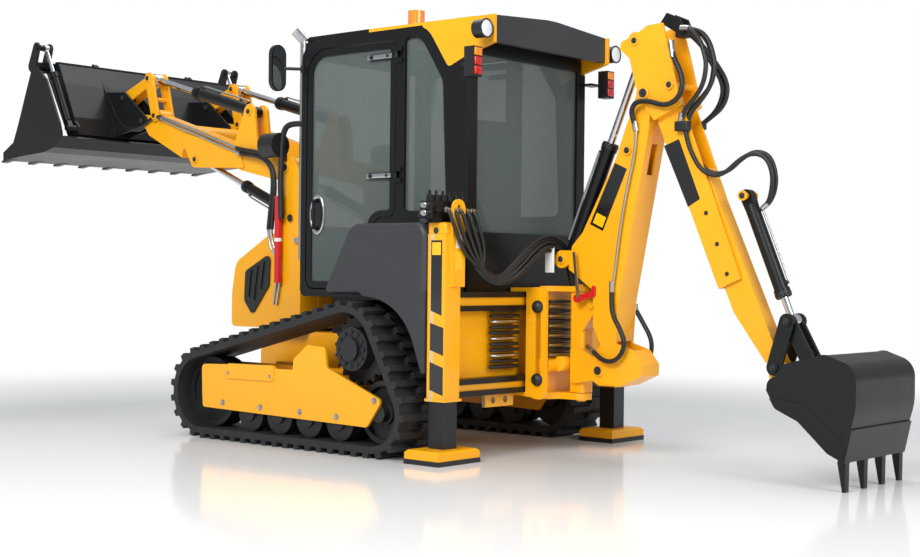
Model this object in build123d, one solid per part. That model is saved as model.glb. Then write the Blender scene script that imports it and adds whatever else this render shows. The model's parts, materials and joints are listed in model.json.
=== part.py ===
from build123d import *
import math
import os

# Compact tracked backhoe loader. Millimetres. +X points to the loader end, +Y to the left, +Z up.
# The working origin is on the ground, on the centreline, under the rear edge of the stabilizer pads.

# General clearances and plate sizes
GAP = 6.0              # air between pieces that move past each other
PIN_GAP = 2.0          # side air of an eye between its clevis plates
FIT = 0.05             # radial clearance of a pin in its bore
SLIDE = 0.3            # running gap of slides, wheels and wear pads
ROD_FIT = 0.3          # radial clearance of a rod in its barrel
PIN_R = 17.0           # pins of the loader and the backhoe
MAIN_PIN_R = 24.0      # pins that carry a whole arm
CLAM_PIN_R = 11.0
DOOR_PIN_R = 6.0
PIN_HEAD_T = 10.0
EYE_R = 38.0           # eye of a ram
EYE_W = 44.0
CLEVIS_R = 42.0        # round end of the plates that hold a ram's eye

# Tracks
TRACK_Y0 = 554.0
TRACK_W = 320.0
TRACK_Y1 = TRACK_Y0 + TRACK_W
TRACK_MID_Y = (TRACK_Y0 + TRACK_Y1) / 2
LUG_H = 26.0
BELT_T = 34.0
BELT_GAP = 0.4         # air between the belt and what it runs on
LUG_SHARE = 0.46       # part of a pitch that the lug fills
LUGS = 50
IDLER_F = (1800.0, 256.0, 256.0)     # x, z, radius over the lugs
IDLER_R = (467.0, 224.0, 224.0)
SPROCKET = (672.0, 540.0, 252.0)
ROLLER_XS = [751.0, 981.0, 1211.0, 1441.0]
ROLLER_R = 98.0
FRAME_Y0, FRAME_Y1 = TRACK_Y0 + 34.0, TRACK_Y1 - 36.0    # inner and outer face of the track frame
FRAME_T = 16.0
COVER_T = 8.0
HUB_R = 112.0
HUB_BOLTS = 12
MOTOR_R = 92.0
TEETH = 20

# Chassis
CHASSIS_W = 330.0      # half width of the lower chassis
CHASSIS_Z0, CHASSIS_Z1 = 330.0, 590.0
CHASSIS_X0, CHASSIS_X1 = 200.0, 1900.0

# Cab
CAB_X0, CAB_X1 = 160.0, 1390.0
CAB_W = 500.0
CAB_Z0, CAB_Z1 = 800.0, 2180.0
CAB_POST = 40.0
SIDE_TOP = 2228.0      # top of the side panels
ROOF_TOP = 2246.0
ROOF_SPLIT = 870.0     # black roof in front of it, yellow behind
BEACON = (ROOF_SPLIT - 70.0, 200.0)
CHEEK = 20.0           # yellow side plates at the ends of the visor
VISOR_X, VISOR_X1 = 12.0, 124.0
VISOR_LOW, VISOR_EAVE, VISOR_PEAK = 2104.0, 2238.0, 2268.0
VISOR_T = 12.0
DOOR_X = 655.0         # hinge line of the doors
DOOR_T = 22.0
DOOR_RIM = 38.0        # frame round the pane
STRAP = 200.0          # hinge straps that hold the pane
DOOR_Y = CAB_W + 13.0  # axis of the door hinges, outside the side face
DOOR_HINGE_ZS = (1453.0, 2088.0)
# outlines of the cab's side, anticlockwise: x, z, corner radius
SIDE_PANEL = [(CAB_X0, CAB_Z0, 6), (CAB_X1, CAB_Z0, 40), (CAB_X1, SIDE_TOP, 120), (455, SIDE_TOP, 150),
              (300, 1996, 24), (CAB_X0, 2052, 6)]
DOORWAY = [(DOOR_X + 10, 1225, 60), (808, 1225, 70), (1022, 841, 70), (1350, 841, 60), (1350, 2172, 150),
           (DOOR_X + 10, 2172, 60)]
QUARTER = [(306, 1262, 40), (DOOR_X - 50, 1262, 24), (DOOR_X - 50, 2172, 24), (492, 2172, 100),
           (336, 1930, 110)]

# Rear frame
COL_X0, COL_X1 = 55.5, 170.5
COL_Y0, COL_Y1 = 670.0, 785.0
COL_Z0, COL_Z1 = 304.0, 1130.0
COL_WALL = 8.0
TAB_Y, TAB_R, TAB_T, TAB_TOP = 699.0, 48.0, 12.0, 1254.0     # slotted plate up the rear of a column
RAIL_X0, RAIL_X1 = 48.0, 130.0
RAIL_TOP, RAIL_BOTTOM = 845.0, 323.0
RAIL_T = 28.0
BEAM_TOP_Z = (748.0, 845.0)
BEAM_LOW_Z = (323.0, 411.0)
PAD_H, PAD_RUBBER = 46.0, 24.0
PAD_X, PAD_Y = 226.0, 310.0
PAD_BEVEL = 14.0

# Backhoe
YK = -40.0             # where the carriage stands on its rails
SLEW_X = -170.0
SLEW_R = 56.0
CARR_HALF = 200.0
ARM_TOP_Z = (848.0, 876.0)
ARM_LOW_Z = (288.0, 322.0)
FOOT = (-337.0, 449.0)
EAR = (-94.0, 1016.0)
BOOM_RAM_BASE = (-262.0, 786.0)
BOOM_RAM_TOP = (-500.0, 1563.0)
ELBOW = (-606.0, 1841.0)
EXT_PIN = (-757.0, 1871.0)
HEAD_PIN = (-550.0, 2106.0)
CROWD_PIN = (-1140.0, 1321.0)
LINK_LOW = (-1322.0, 512.0)
LINK_TOP = (-1386.0, 729.0)
BUCKET_PIN = (-1346.0, 424.0)
BUCKET_LINK_PIN = (-1520.0, 482.0)
BOOM_IN, BOOM_OUT = 64.0, 80.0         # inner and outer face of the boom's side plates
POST_OUT = 46.0                        # half width of the kingpost's upper clevis
LUG_HALF = BOOM_IN - PIN_GAP            # kingpost lug between the boom's plates
DIP_IN, DIP_OUT = 54.0, 66.0           # outer dipper walls
HEAD_IN, HEAD_OUT = 86.0, 100.0        # dipper head plates outside the boom top
INNER_HALF = 46.0
TIP_IN, TIP_OUT = 50.0, 64.0           # tipping links outside the inner dipper
LINK_IN, LINK_OUT = 26.0, 42.0         # bucket link plates
BUCKET_EAR_IN, BUCKET_EAR_OUT = 72.0, 90.0
BUCKET_HALF = 303.0
BUCKET_WALL = 10.0

# Loader
ARM_Y = 343.0                          # middle of an arm
ARM_HALF = 42.0                        # half thickness of an arm
CRANK_IN, CRANK_OUT = 49.0, 64.0       # bell-crank plates beside the arm, from its middle
TLINK_IN, TLINK_OUT = 27.0, 42.0
BRACKET_T = 16.0                       # tilt ram brackets on the arm
CHEEK_T = 10.0                         # cheek plates round the lift ram's pin
TOWER_IN, TOWER_OUT = 52.0, 70.0
PIVOT = (1610.0, 1535.0)
HITCH = (2961.0, 1883.0)
LIFT_PIN = (2441.0, 1617.0)
LIFT_BASE = (1560.0, 1243.0)
TILT_BASE = (1945.0, 1878.0)
CRANK_LOW = (2832.0, 1907.0)
CRANK_TOP = (2899.0, 2146.0)
LINK_PIN = (3159.0, 2039.0)
CROSS_TUBE = (2780.0, 1812.0)
SHOVEL_HALF = 828.0
CLAM_PIVOT = (3548.0, 2231.0)
CLAM_EAR = (3505.0, 2346.0)
CLAM_RAM_BASE = (3242.0, 1824.0)
CLAM_EYE_W = 34.0
EAR_ROOM = 124.0                       # from the jaw's side to the shovel back, for the ears and rams
BACK_HALF = SHOVEL_HALF - EAR_ROOM     # half width of the shovel back
EAR_IN = BACK_HALF + 16.0              # inner ear plates of the jaw
PLATE = 14.0
CLAM_RAM_Y = EAR_IN + PLATE + SLIDE + CLAM_EYE_W / 2
SHOVEL_TEETH = 9

# Bonnet
BONNET_HALF = 258.0
BONNET_T = 14.0
BONNET_X0, BONNET_X1 = 1690.0, 2250.0
# side view of the bonnet: x, z, corner radius
BONNET = [(BONNET_X0, 600, 2), (BONNET_X1, 600, 30), (BONNET_X1, 800, 160), (2216, 990, 90),
          (1930, 1148, 160), (BONNET_X0, 1212, 2)]
BONNET_HINGE = (1704.0, 1194.0)
LUG_Y0, LUG_Y1 = 180.0, 196.0          # hinge lugs between the towers
STRUT_R = 22.0
STRUT_Y = ARM_Y + TOWER_OUT + 26.0
TOW_Y = (215.0, 315.0)
TOW_Z = 285.0
TOW_R = 18.0
TOW_T = 22.0


def box(x0, x1, y0, y1, z0, z1):
    return Pos((x0 + x1) / 2, (y0 + y1) / 2, (z0 + z1) / 2) * Box(abs(x1 - x0), abs(y1 - y0), abs(z1 - z0))


def solid_of(face, y0, y1):
    return Pos(0, min(y0, y1), 0) * extrude(face, amount=abs(y1 - y0), dir=(0, 1, 0))


def poly(pts, y0, y1):
    # a plate in the XZ plane from a list of corners, between two values of Y
    return solid_of(make_face(Polyline(*[(x, 0, z) for x, z in pts], close=True)), y0, y1)


def plan(pts, z0, z1):
    # a plate in the XY plane, between two heights
    face = make_face(Polyline(*[(x, y, 0) for x, y in pts], close=True))
    return Pos(0, 0, z0) * extrude(face, amount=z1 - z0, dir=(0, 0, 1))


def hull_wire(circles):
    # outline round a row of circles (x, z, radius), given anticlockwise
    n = len(circles)
    ang = []
    for i in range(n):
        xa, za, ra = circles[i]
        xb, zb, rb = circles[(i + 1) % n]
        d = math.hypot(xb - xa, zb - za)
        ang.append(math.atan2(zb - za, xb - xa) - math.acos((ra - rb) / d))
    edges = []
    for i in range(n):
        x, z, r = circles[i]
        a_in, a_out = ang[i - 1], ang[i]
        while a_out < a_in - 1e-9:
            a_out += 2 * math.pi
        while a_out > a_in + 2 * math.pi:
            a_out -= 2 * math.pi
        p = [(x + r * math.cos(a), 0, z + r * math.sin(a)) for a in (a_in, (a_in + a_out) / 2, a_out)]
        if r > 0.01 and a_out - a_in > 1e-4:
            edges.append(ThreePointArc(*p))
        xb, zb, rb = circles[(i + 1) % n]
        q = (xb + rb * math.cos(ang[i]), 0, zb + rb * math.sin(ang[i]))
        if math.dist(p[2], q) > 1e-3:
            edges.append(Line(p[2], q))
    return edges


def hull(circles, y0, y1):
    return solid_of(make_face(hull_wire(circles)), y0, y1)


def rounded_wire(corners):
    # closed outline from corners (x, z, radius), straight between them
    n = len(corners)
    arcs = []
    for i, (x, z, r) in enumerate(corners):
        (xa, za, _), (xb, zb, _) = corners[i - 1], corners[(i + 1) % n]
        la, lb = math.hypot(xa - x, za - z), math.hypot(xb - x, zb - z)
        ua, ub = ((xa - x) / la, (za - z) / la), ((xb - x) / lb, (zb - z) / lb)
        half = math.acos(max(-1.0, min(1.0, ua[0] * ub[0] + ua[1] * ub[1]))) / 2
        mx, mz = ua[0] + ub[0], ua[1] + ub[1]
        reach, deep = r / math.tan(half), (r / math.sin(half) - r) / math.hypot(mx, mz)
        arcs.append(((x + ua[0] * reach, 0, z + ua[1] * reach), (x + mx * deep, 0, z + mz * deep),
                     (x + ub[0] * reach, 0, z + ub[1] * reach)))
    edges = []
    for i, (start, middle, end) in enumerate(arcs):
        if corners[i][2] > 0:
            edges.append(ThreePointArc(start, middle, end))
        if math.dist(end, arcs[(i + 1) % n][0]) > 1e-3:
            edges.append(Line(end, arcs[(i + 1) % n][0]))
    return edges


def rounded(corners, y0, y1):
    return solid_of(make_face(rounded_wire(corners)), y0, y1)


def shrunk(corners, d):
    # the same outline, given anticlockwise, set in by d with its arcs kept concentric
    out = []
    n = len(corners)
    for i, (x, z, r) in enumerate(corners):
        (xa, za, _), (xb, zb, _) = corners[i - 1], corners[(i + 1) % n]
        la, lb = math.hypot(x - xa, z - za), math.hypot(xb - x, zb - z)
        ax, az, bx, bz = (x - xa) / la, (z - za) / la, (xb - x) / lb, (zb - z) / lb
        k = d / (1 + ax * bx + az * bz)
        turn = math.copysign(d, ax * bz - az * bx)
        out.append((x - k * (az + bz), z + k * (ax + bx), max(r - turn, 1.0)))
    return out


def bowl(corners, wall, y0, y1):
    # a bent plate along every side of the outline but the first, which stays open
    inner = shrunk(corners, wall)
    ends = []
    for corner, before in ((0, -1), (1, 2)):
        (x, z, _), (xb, zb, _) = inner[corner], inner[before]
        d = math.hypot(x - xb, z - zb) / (3 * wall)
        ends.append((x + (x - xb) / d, z + (z - zb) / d, 0))
    return rounded(corners, y0, y1) - rounded(ends + inner[2:], y0 - 1, y1 + 1)


def across(shape_of, outline, x0, x1):
    # a plate in the YZ plane, from an outline of (y, z) and the function that draws it
    return Rot(0, 0, 90) * shape_of(outline, -x1, -x0)


def rod(p, q, r):
    a, b = Vector(*p), Vector(*q)
    return Plane(origin=a, z_dir=(b - a).normalized()) * Cylinder(
        r, (b - a).length, align=(Align.CENTER, Align.CENTER, Align.MIN))


def ycyl(pt, r, y0, y1):
    return rod((pt[0], y0, pt[1]), (pt[0], y1, pt[1]), r)


def pin(pt, y, half, r=PIN_R):
    # a pin with a head on each outer face of the plates that hold it
    bar = ycyl(pt, r, y - half - 1, y + half + 1)
    return fuse([bar] + [ycyl(pt, r + 7, y + s * half, y + s * (half + PIN_HEAD_T)) for s in (-1, 1)])


def pin_heads(pt, y, half, r=PIN_R):
    # only the heads of a pin, where the eye between the plates swings free
    return [ycyl(pt, r + 7, y + s * half, y + s * (half + PIN_HEAD_T)) for s in (-1, 1)]


def bosses(pt, y, a, b, r):
    # rings round a pin that fill the air between a plate and an eye, on both sides
    return [ycyl(pt, r, y + s * a, y + s * b) for s in (-1, 1)]


def bored(part, pt, r=PIN_R):
    # running bore for a pin, right through
    return part - ycyl(pt, r + FIT, -1000, 1000)


def pipe(pts, r):
    line = Polyline(*pts)
    start = Plane(origin=pts[0], z_dir=Vector(*pts[1]) - Vector(*pts[0]))
    return sweep(start * Circle(r), path=line, transition=Transition.ROUND)


def fuse(parts):
    parts = [p for p in parts if p is not None]
    out = parts[0]
    for p in parts[1:]:
        out = out + p
    return out


def group(parts):
    # solids of one node that stay separate
    solids = []
    for p in parts:
        solids += list(p.solids())
    return Compound(solids)


def joined(parts):
    # fuse what touches, as one node
    out = fuse(parts)
    return out.clean() if hasattr(out, "clean") else out


def mirror_y(shape):
    return mirror(shape, about=Plane.XZ)


def toward(a, b, d):
    # point at distance d from a towards b
    length = math.hypot(b[0] - a[0], b[1] - a[1])
    return (a[0] + (b[0] - a[0]) * d / length, a[1] + (b[1] - a[1]) * d / length)


def dist2(a, b):
    return math.hypot(b[0] - a[0], b[1] - a[1])


# Rams: base pin, rod pin, length of rod that shows between the barrel and the pin, barrel and rod radius,
# how far it goes in and out from here,
# width of the base eye and of the rod eye
RAMS = {
    "lift": dict(base=LIFT_BASE, top=LIFT_PIN, shows=442.0, rb=31.0, rr=18.0, stroke_in=375.0,
                 stroke_out=60.0,
                 low_w=EYE_W, top_w=2 * (ARM_HALF - SLIDE)),
    "tilt": dict(base=TILT_BASE, top=CRANK_TOP, shows=416.0, rb=36.0, rr=19.0, stroke_in=312.0,
                 stroke_out=175.0,
                 low_w=EYE_W, top_w=2 * (TLINK_IN - SLIDE)),
    "clam": dict(base=CLAM_RAM_BASE, top=CLAM_EAR, shows=184.5, rb=24.0, rr=13.0, stroke_in=150.0,
                 stroke_out=10.0,
                 low_w=CLAM_EYE_W, top_w=CLAM_EYE_W),
    "boom": dict(base=BOOM_RAM_BASE, top=BOOM_RAM_TOP, shows=122.6, rb=42.0, rr=22.0, stroke_in=30.0,
                 stroke_out=480.0, low_w=EYE_W, top_w=EYE_W),
    "dipper": dict(base=EAR, top=HEAD_PIN, shows=541.5, rb=38.0, rr=20.0, stroke_in=440.0, stroke_out=30.0,
                   low_w=EYE_W, top_w=EYE_W),
    "bucket": dict(base=CROWD_PIN, top=LINK_TOP, shows=126.1, rb=34.0, rr=18.0, stroke_in=25.0,
                   stroke_out=340.0,
                   low_w=EYE_W, top_w=2 * (LINK_IN - SLIDE)),
}


def ram(name, y, eye_r=EYE_R, pin_r=PIN_R):
    m = RAMS[name]
    base, top = m["base"], m["top"]
    length = dist2(base, top) - m["shows"]
    g = toward(base, top, length)
    inner = min(m["stroke_out"], length - 120.0)
    far = toward(base, top, length - inner - 20.0)
    deep = toward(base, top, max(length - inner - 24.0 - m["stroke_in"], CLEVIS_R + 20.0))
    start = toward(base, top, CLEVIS_R + GAP + 2.0)
    b3 = lambda p: (p[0], y, p[1])
    half = m["low_w"] / 2
    neck = hull([base + (eye_r - 6.0,), toward(base, top, CLEVIS_R + GAP + 8.0) + (eye_r - 10.0,)], y - half,
                y + half)
    barrel = fuse([neck, rod(b3(start), b3(g), m["rb"])])
    gland = toward(base, top, length - 36.0)
    barrel = barrel + rod(b3(gland), b3(g), m["rb"] + 5.0)
    barrel = barrel - rod(b3(deep), b3(toward(base, top, length + 5.0)), m["rr"] + ROD_FIT)
    barrel = bored(barrel, base, pin_r)
    half = m["top_w"] / 2
    rodp = ycyl(top, eye_r - 4.0, y - half, y + half) + rod(b3(far), b3(top), m["rr"])
    return barrel, rodp


NODES = {}


def track():
    # belt with two staggered rows of lugs
    rings = [IDLER_F, SPROCKET, IDLER_R]
    belt = [(x, z, r - LUG_H) for x, z, r in rings]
    path = []
    n = len(belt)
    ang = []
    for i in range(n):
        xa, za, ra = belt[i]
        xb, zb, rb = belt[(i + 1) % n]
        d = math.hypot(xb - xa, zb - za)
        ang.append(math.atan2(zb - za, xb - xa) - math.acos((ra - rb) / d))
    segs = []
    for i in range(n):
        x, z, r = belt[i]
        a_in, a_out = ang[i - 1], ang[i]
        while a_out < a_in:
            a_out += 2 * math.pi
        segs.append(("arc", x, z, r, a_in, a_out, r * (a_out - a_in)))
        xb, zb, rb = belt[(i + 1) % n]
        p = (x + r * math.cos(a_out), z + r * math.sin(a_out))
        q = (xb + rb * math.cos(a_out), zb + rb * math.sin(a_out))
        segs.append(("line", p, q, a_out, math.dist(p, q)))
    total = sum(s[-1] for s in segs)

    def at(s):
        s = s % total
        for seg in segs:
            if s <= seg[-1]:
                if seg[0] == "arc":
                    a = seg[4] + s / seg[3]
                    return (seg[1] + seg[3] * math.cos(a), seg[2] + seg[3] * math.sin(a), a)
                t = s / seg[-1]
                return (seg[1][0] + (seg[2][0] - seg[1][0]) * t, seg[1][1] + (seg[2][1] - seg[1][1]) * t,
                        seg[3])
            s -= seg[-1]
        return at(0.0)

    inner = hull([(x, z, r - BELT_T) for x, z, r in belt], 0, TRACK_W)
    halves = []
    mid = TRACK_W / 2
    for k, (ya, yb) in enumerate([(0.0, mid), (mid, 2 * mid)]):
        pts = []
        pitch = total / LUGS
        for i in range(LUGS):
            s0 = (i + 0.5 * k) * pitch
            s1 = s0 + LUG_SHARE * pitch
            for s, out in ((s0, 0.0), (s0 + 5, LUG_H), (s1 - 5, LUG_H), (s1, 0.0)):
                x, z, a = at(s)
                pts.append((x + out * math.cos(a), z + out * math.sin(a)))
        halves.append(poly(pts, ya, yb))
    belt_solid = (halves[0] + halves[1]) - inner
    return Pos(0, TRACK_Y0, 0) * belt_solid


def ring_r(ring):
    # radius that the inside of the belt leaves round a wheel
    return ring[2] - LUG_H - BELT_T - BELT_GAP


def track_frame():
    ya, yb = FRAME_Y0, FRAME_Y1
    # outer plate with a step up to the sprocket's guard, and a raised cover
    outer = rounded([(528, 150, 24), (1814, 172, 20), (1826, 412, 30), (1240, 432, 14), (1206, 412, 14),
                     (1078, 416, 4), (1074, 474, 12), (966, 552, 24), (836, 546, 20), (822, 440, 16),
                     (424, 292, 24)],
                    yb - FRAME_T, yb)
    outer = outer + rounded([(1224, 346, 10), (1616, 342, 14), (1594, 426, 12), (1226, 430, 8)], yb - 1,
                            yb + COVER_T)
    inner = poly([(1816, 418), (1812, 176), (528, 150), (420, 292), (470, 318), (640, 372), (760, 418)],
                 ya, ya + FRAME_T)
    beam = poly([(760, 280), (1580, 280), (1580, 400), (900, 400), (800, 330), (760, 330)], ya, yb)
    mount = hull([(560, 330, 20), (1010, 330, 20), (860, 470, 60), (672, 540, 150)], ya - 24, ya)
    mount = mount - ycyl((672, 540), MOTOR_R + SLIDE, ya - 25, ya + 1)
    mount = mount + box(760, 1000, ya - 24, ya + 4, 330, 380)
    arms = [box(x0, x0 + 130, CHASSIS_W, ya - 24, 350, 430) for x0 in (560, 1380)]
    arms2 = [box(1380, 1510, ya - 24, ya + 4, 350, 400)]
    inner = inner - ycyl((672, 540), MOTOR_R + SLIDE, ya - 1, ya + FRAME_T + 1)
    part = fuse([outer, inner, beam, mount] + arms + arms2)
    return part


def rollers():
    out = []
    ya, yb = FRAME_Y0 + FRAME_T, FRAME_Y1 - FRAME_T
    belt_in = LUG_H + BELT_T
    for x in ROLLER_XS:
        z = belt_in + ROLLER_R + BELT_GAP
        r = fuse([ycyl((x, z), 40, ya, yb), ycyl((x, z), ROLLER_R, ya + 14, ya + 80),
                  ycyl((x, z), ROLLER_R, yb - 80, yb - 14)])
        out.append(r)
    for ring in (IDLER_F, IDLER_R):
        rr = ring_r(ring)
        w = fuse([ycyl(ring, 46, ya, yb), ycyl(ring, rr, TRACK_MID_Y - 62, TRACK_MID_Y + 62)])
        w = w - (ycyl(ring, rr - 26, TRACK_MID_Y + 40, TRACK_MID_Y + 63) - ycyl(ring, 60, TRACK_MID_Y + 39,
                                                                               TRACK_MID_Y + 64))
        out.append(w)
    return out


def sprocket():
    x, z, r = SPROCKET
    rr = ring_r(SPROCKET)
    y0, y1 = TRACK_MID_Y - 26, TRACK_MID_Y + 26
    pts = []
    for i in range(TEETH):
        for f, rad in ((0.0, rr - 24), (0.22, rr - 2), (0.42, rr - 2), (0.64, rr - 24)):
            a = 2 * math.pi * (i + f) / TEETH
            pts.append((x + rad * math.cos(a), z + rad * math.sin(a)))
    disc = poly(pts, y0, y1)
    hub = ycyl((x, z), HUB_R, FRAME_Y0 + FRAME_T + GAP, TRACK_Y1 - 66)
    cap = ycyl((x, z), 60, TRACK_Y1 - 66, TRACK_Y1 - 44)
    motor = ycyl((x, z), MOTOR_R, FRAME_Y0 - 120, FRAME_Y0 + FRAME_T + GAP)
    bolts = []
    for i in range(HUB_BOLTS):
        a = 2 * math.pi * i / HUB_BOLTS
        p = (x + 88 * math.cos(a), z + 88 * math.sin(a))
        bolts.append(ycyl(p, 10, TRACK_Y1 - 68, TRACK_Y1 - 56))
    return fuse([disc, hub, cap, motor] + bolts)


def side_pair(name, parts):
    # one node on each side
    flipped = [mirror_y(p) for p in parts]
    NODES[name + "_left"] = group(parts) if len(parts) > 1 else parts[0]
    NODES[name + "_right"] = group(flipped) if len(parts) > 1 else flipped[0]


def pair_of(name, parts):
    # like pieces of both sides in one node
    NODES[name] = group(parts + [mirror_y(p) for p in parts])


side_pair("track", [track()])
pair_of("track_frames", [track_frame()])
pair_of("rollers", rollers())
pair_of("sprockets", [sprocket()])

# Lower chassis
hull_box = poly([(CHASSIS_X0, CHASSIS_Z0), (1840, CHASSIS_Z0), (CHASSIS_X1, 380), (CHASSIS_X1, 470),
                 (1800, CHASSIS_Z1), (CHASSIS_X0, CHASSIS_Z1)], -CHASSIS_W, CHASSIS_W)
hull_box = hull_box - box(CHASSIS_X0 + 20, 1780, -CHASSIS_W + 16, CHASSIS_W - 16, CHASSIS_Z0 + 16,
                          CHASSIS_Z1 + 1)
hull_box = hull_box + box(CHASSIS_X0 + 10, 1790, -CHASSIS_W + 10, CHASSIS_W - 10, CHASSIS_Z1 - 12,
                          CHASSIS_Z1)
NODES["main_frame"] = joined([hull_box])


# Loader towers
def tower():
    a, b = ARM_Y - TOWER_OUT, ARM_Y - TOWER_IN
    c, d = ARM_Y + TOWER_IN, ARM_Y + TOWER_OUT
    face = [(1480, CHASSIS_Z1), (1676, CHASSIS_Z1), (1676, 860), (1650, 1300), (1668, 1480),
            (1660, 1590), (1560, 1600), (1490, 1500), (1478, 1200)]
    plates = [poly(face, a, b), poly(face, c, d)]
    web = box(1479, 1497, b, c, CHASSIS_Z1, 1190)
    foot = box(1480, 1676, a - 0, d, CHASSIS_Z1, CHASSIS_Z1 + 16)
    clamps = [box(1625, 1655, d, STRUT_Y - STRUT_R - SLIDE, z, z + 40) for z in (900, 1290)]
    held = [pin(PIVOT, ARM_Y, TOWER_OUT, MAIN_PIN_R), pin(LIFT_BASE, ARM_Y, TOWER_OUT)]
    return fuse(plates + [web, foot] + clamps + bosses(LIFT_BASE, ARM_Y, EYE_W / 2 + PIN_GAP, TOWER_IN,
                                                       30) + held)


tower_l = tower()
cross = box(1478, 1496, -(ARM_Y - TOWER_OUT), ARM_Y - TOWER_OUT, 610, 860)
hinge_bar = ycyl((1655, BONNET_HINGE[1]), 16, -(ARM_Y - TOWER_OUT), ARM_Y - TOWER_OUT)
lugs = []
for s in (-1, 1):
    lugs.append(hull([(1655, BONNET_HINGE[1], 14), BONNET_HINGE + (14,)], s * LUG_Y0, s * LUG_Y1))
    lugs.append(ycyl(BONNET_HINGE, 8, s * LUG_Y0, s * (LUG_Y1 + 24)))
NODES["loader_towers"] = joined([tower_l, mirror_y(tower_l), cross, hinge_bar] + lugs)

# Engine under the bonnet
NODES["engine_block"] = joined([
    box(1520, 2040, -190, 190, CHASSIS_Z1, 900), box(1600, 1960, -110, 110, 900, 1010),
    rod((1720, 150, 900), (1720, 150, 1020), 55)])


# Bonnet, a shell open below
def bonnet():
    w, t = BONNET_HALF, BONNET_T
    shell = rounded(BONNET, -w, w) - rounded(shrunk(BONNET, t), -w + t, w - t)
    shell = shell - box(BONNET_X0 - 1, BONNET_X0 + 30, -w + t, w - t, 599, 1186)
    shell = shell - box(BONNET_X0 + 14, BONNET_X1 - t, -w + t, w - t, 599, 630)
    for s in (-1, 1):
        shell = shell - box(1680, BONNET_HINGE[0] + 14 + GAP, s * (LUG_Y0 - GAP), s * (LUG_Y1 + 2), 1160,
                            1230)
        knuckle = hull([BONNET_HINGE + (13,), (1740, 1192, 8)], s * (LUG_Y1 + 2), s * (LUG_Y1 + 20))
        shell = shell + knuckle
    return bored(shell, BONNET_HINGE, 8)


NODES["bonnet"] = bonnet()
GRILLE = [(2053, 672, 26), (2128, 759, 40), (2120, 936, 36), (1897, 1046, 30), (1905, 850, 60)]
GRILLE_SLOTS = [((1942, 984), (1966, 838)), ((1998, 958), (2026, 772)), ((2056, 932), (2074, 790))]
louvres = []
for s in (-1, 1):
    base = rounded(GRILLE, s * BONNET_HALF, s * (BONNET_HALF + 10))
    cuts = [hull([top + (13,), low + (13,)], s * (BONNET_HALF + 3), s * (BONNET_HALF + 11))
            for top, low in GRILLE_SLOTS]
    louvres.append(base - fuse(cuts))
NODES["bonnet_grilles"] = group(louvres)


# Cab
def cab_frame():
    p = CAB_POST
    side = rounded(SIDE_PANEL, CAB_W - p, CAB_W)
    side = side - rounded(DOORWAY, CAB_W - p - 1, CAB_W + 1) - rounded(QUARTER, CAB_W - p - 1, CAB_W + 1)
    front = box(CAB_X1 - p, CAB_X1, -CAB_W + p, CAB_W - p, CAB_Z0, CAB_Z1)
    front = front - box(CAB_X1 - p - 1, CAB_X1 + 1, -CAB_W + 60, CAB_W - 60, 1060, 2130)
    rear = box(CAB_X0, CAB_X0 + p, -CAB_W + p, CAB_W - p, CAB_Z0, CAB_Z1)
    rear = rear - box(CAB_X0 - 1, CAB_X0 + p + 1, -CAB_W + 70, CAB_W - 70, 1150, 2060)
    floor = box(CAB_X0 + p, CAB_X1 - p, -CAB_W + p, CAB_W - p, CAB_Z0, CAB_Z0 + 20)
    legs = [box(220, 1320, -CHASSIS_W + 20, CHASSIS_W - 20, CHASSIS_Z1, CAB_Z0)]
    front_roof = [poly([(ROOF_SPLIT, CAB_Z1), (CAB_X1, CAB_Z1), (CAB_X1 + 14, CAB_Z1 + 20),
                        (CAB_X1 + 8, SIDE_TOP - 6),
                        (CAB_X1 - 60, ROOF_TOP), (ROOF_SPLIT, ROOF_TOP)], -CAB_W + p, CAB_W - p),
                  poly([(ROOF_SPLIT, SIDE_TOP), (CAB_X1 - 20, SIDE_TOP), (CAB_X1 - 60, ROOF_TOP),
                        (ROOF_SPLIT, ROOF_TOP)], -CAB_W, CAB_W)]
    hinges = []
    for z in DOOR_HINGE_ZS:
        hinges.append(rod((DOOR_X, DOOR_Y, z - 40), (DOOR_X, DOOR_Y, z + 40), DOOR_PIN_R))
        for s in (-1, 1):
            lo, hi = sorted((z + s * 18, z + s * 40))
            hinges.append(box(DOOR_X - 44, DOOR_X + 8, CAB_W - 1, DOOR_Y + 9, lo, hi))
    side = fuse([side] + hinges)
    return fuse([side, mirror_y(side), front, rear, floor] + legs + front_roof)


NODES["cab_frame"] = joined([cab_frame()])


def cab_roof():
    # skin with a cheek on each side that closes the end of the visor
    inner = CAB_W - CAB_POST
    parts = [poly([(VISOR_X1, CAB_Z1), (ROOF_SPLIT, CAB_Z1), (ROOF_SPLIT, ROOF_TOP),
                   (VISOR_X1, ROOF_TOP - 6)],
                  -inner, inner),
             poly([(VISOR_X1, SIDE_TOP), (ROOF_SPLIT, SIDE_TOP), (ROOF_SPLIT, ROOF_TOP),
                   (VISOR_X1, ROOF_TOP - 6)],
                  -CAB_W, CAB_W)]
    cheek = poly([(VISOR_X - 15, VISOR_LOW - 8), (CAB_X0, 2052), (300, 1996), (480, 2150),
                  (480, SIDE_TOP + 1),
                  (VISOR_X1 + 6, SIDE_TOP + 4), (VISOR_X1, VISOR_EAVE), (VISOR_X - 15, VISOR_EAVE)],
                 CAB_W - CHEEK, CAB_W)
    cheek = cheek - rounded(SIDE_PANEL, CAB_W - CAB_POST, CAB_W + 1)
    return fuse(parts + [cheek, mirror_y(cheek)])


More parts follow.
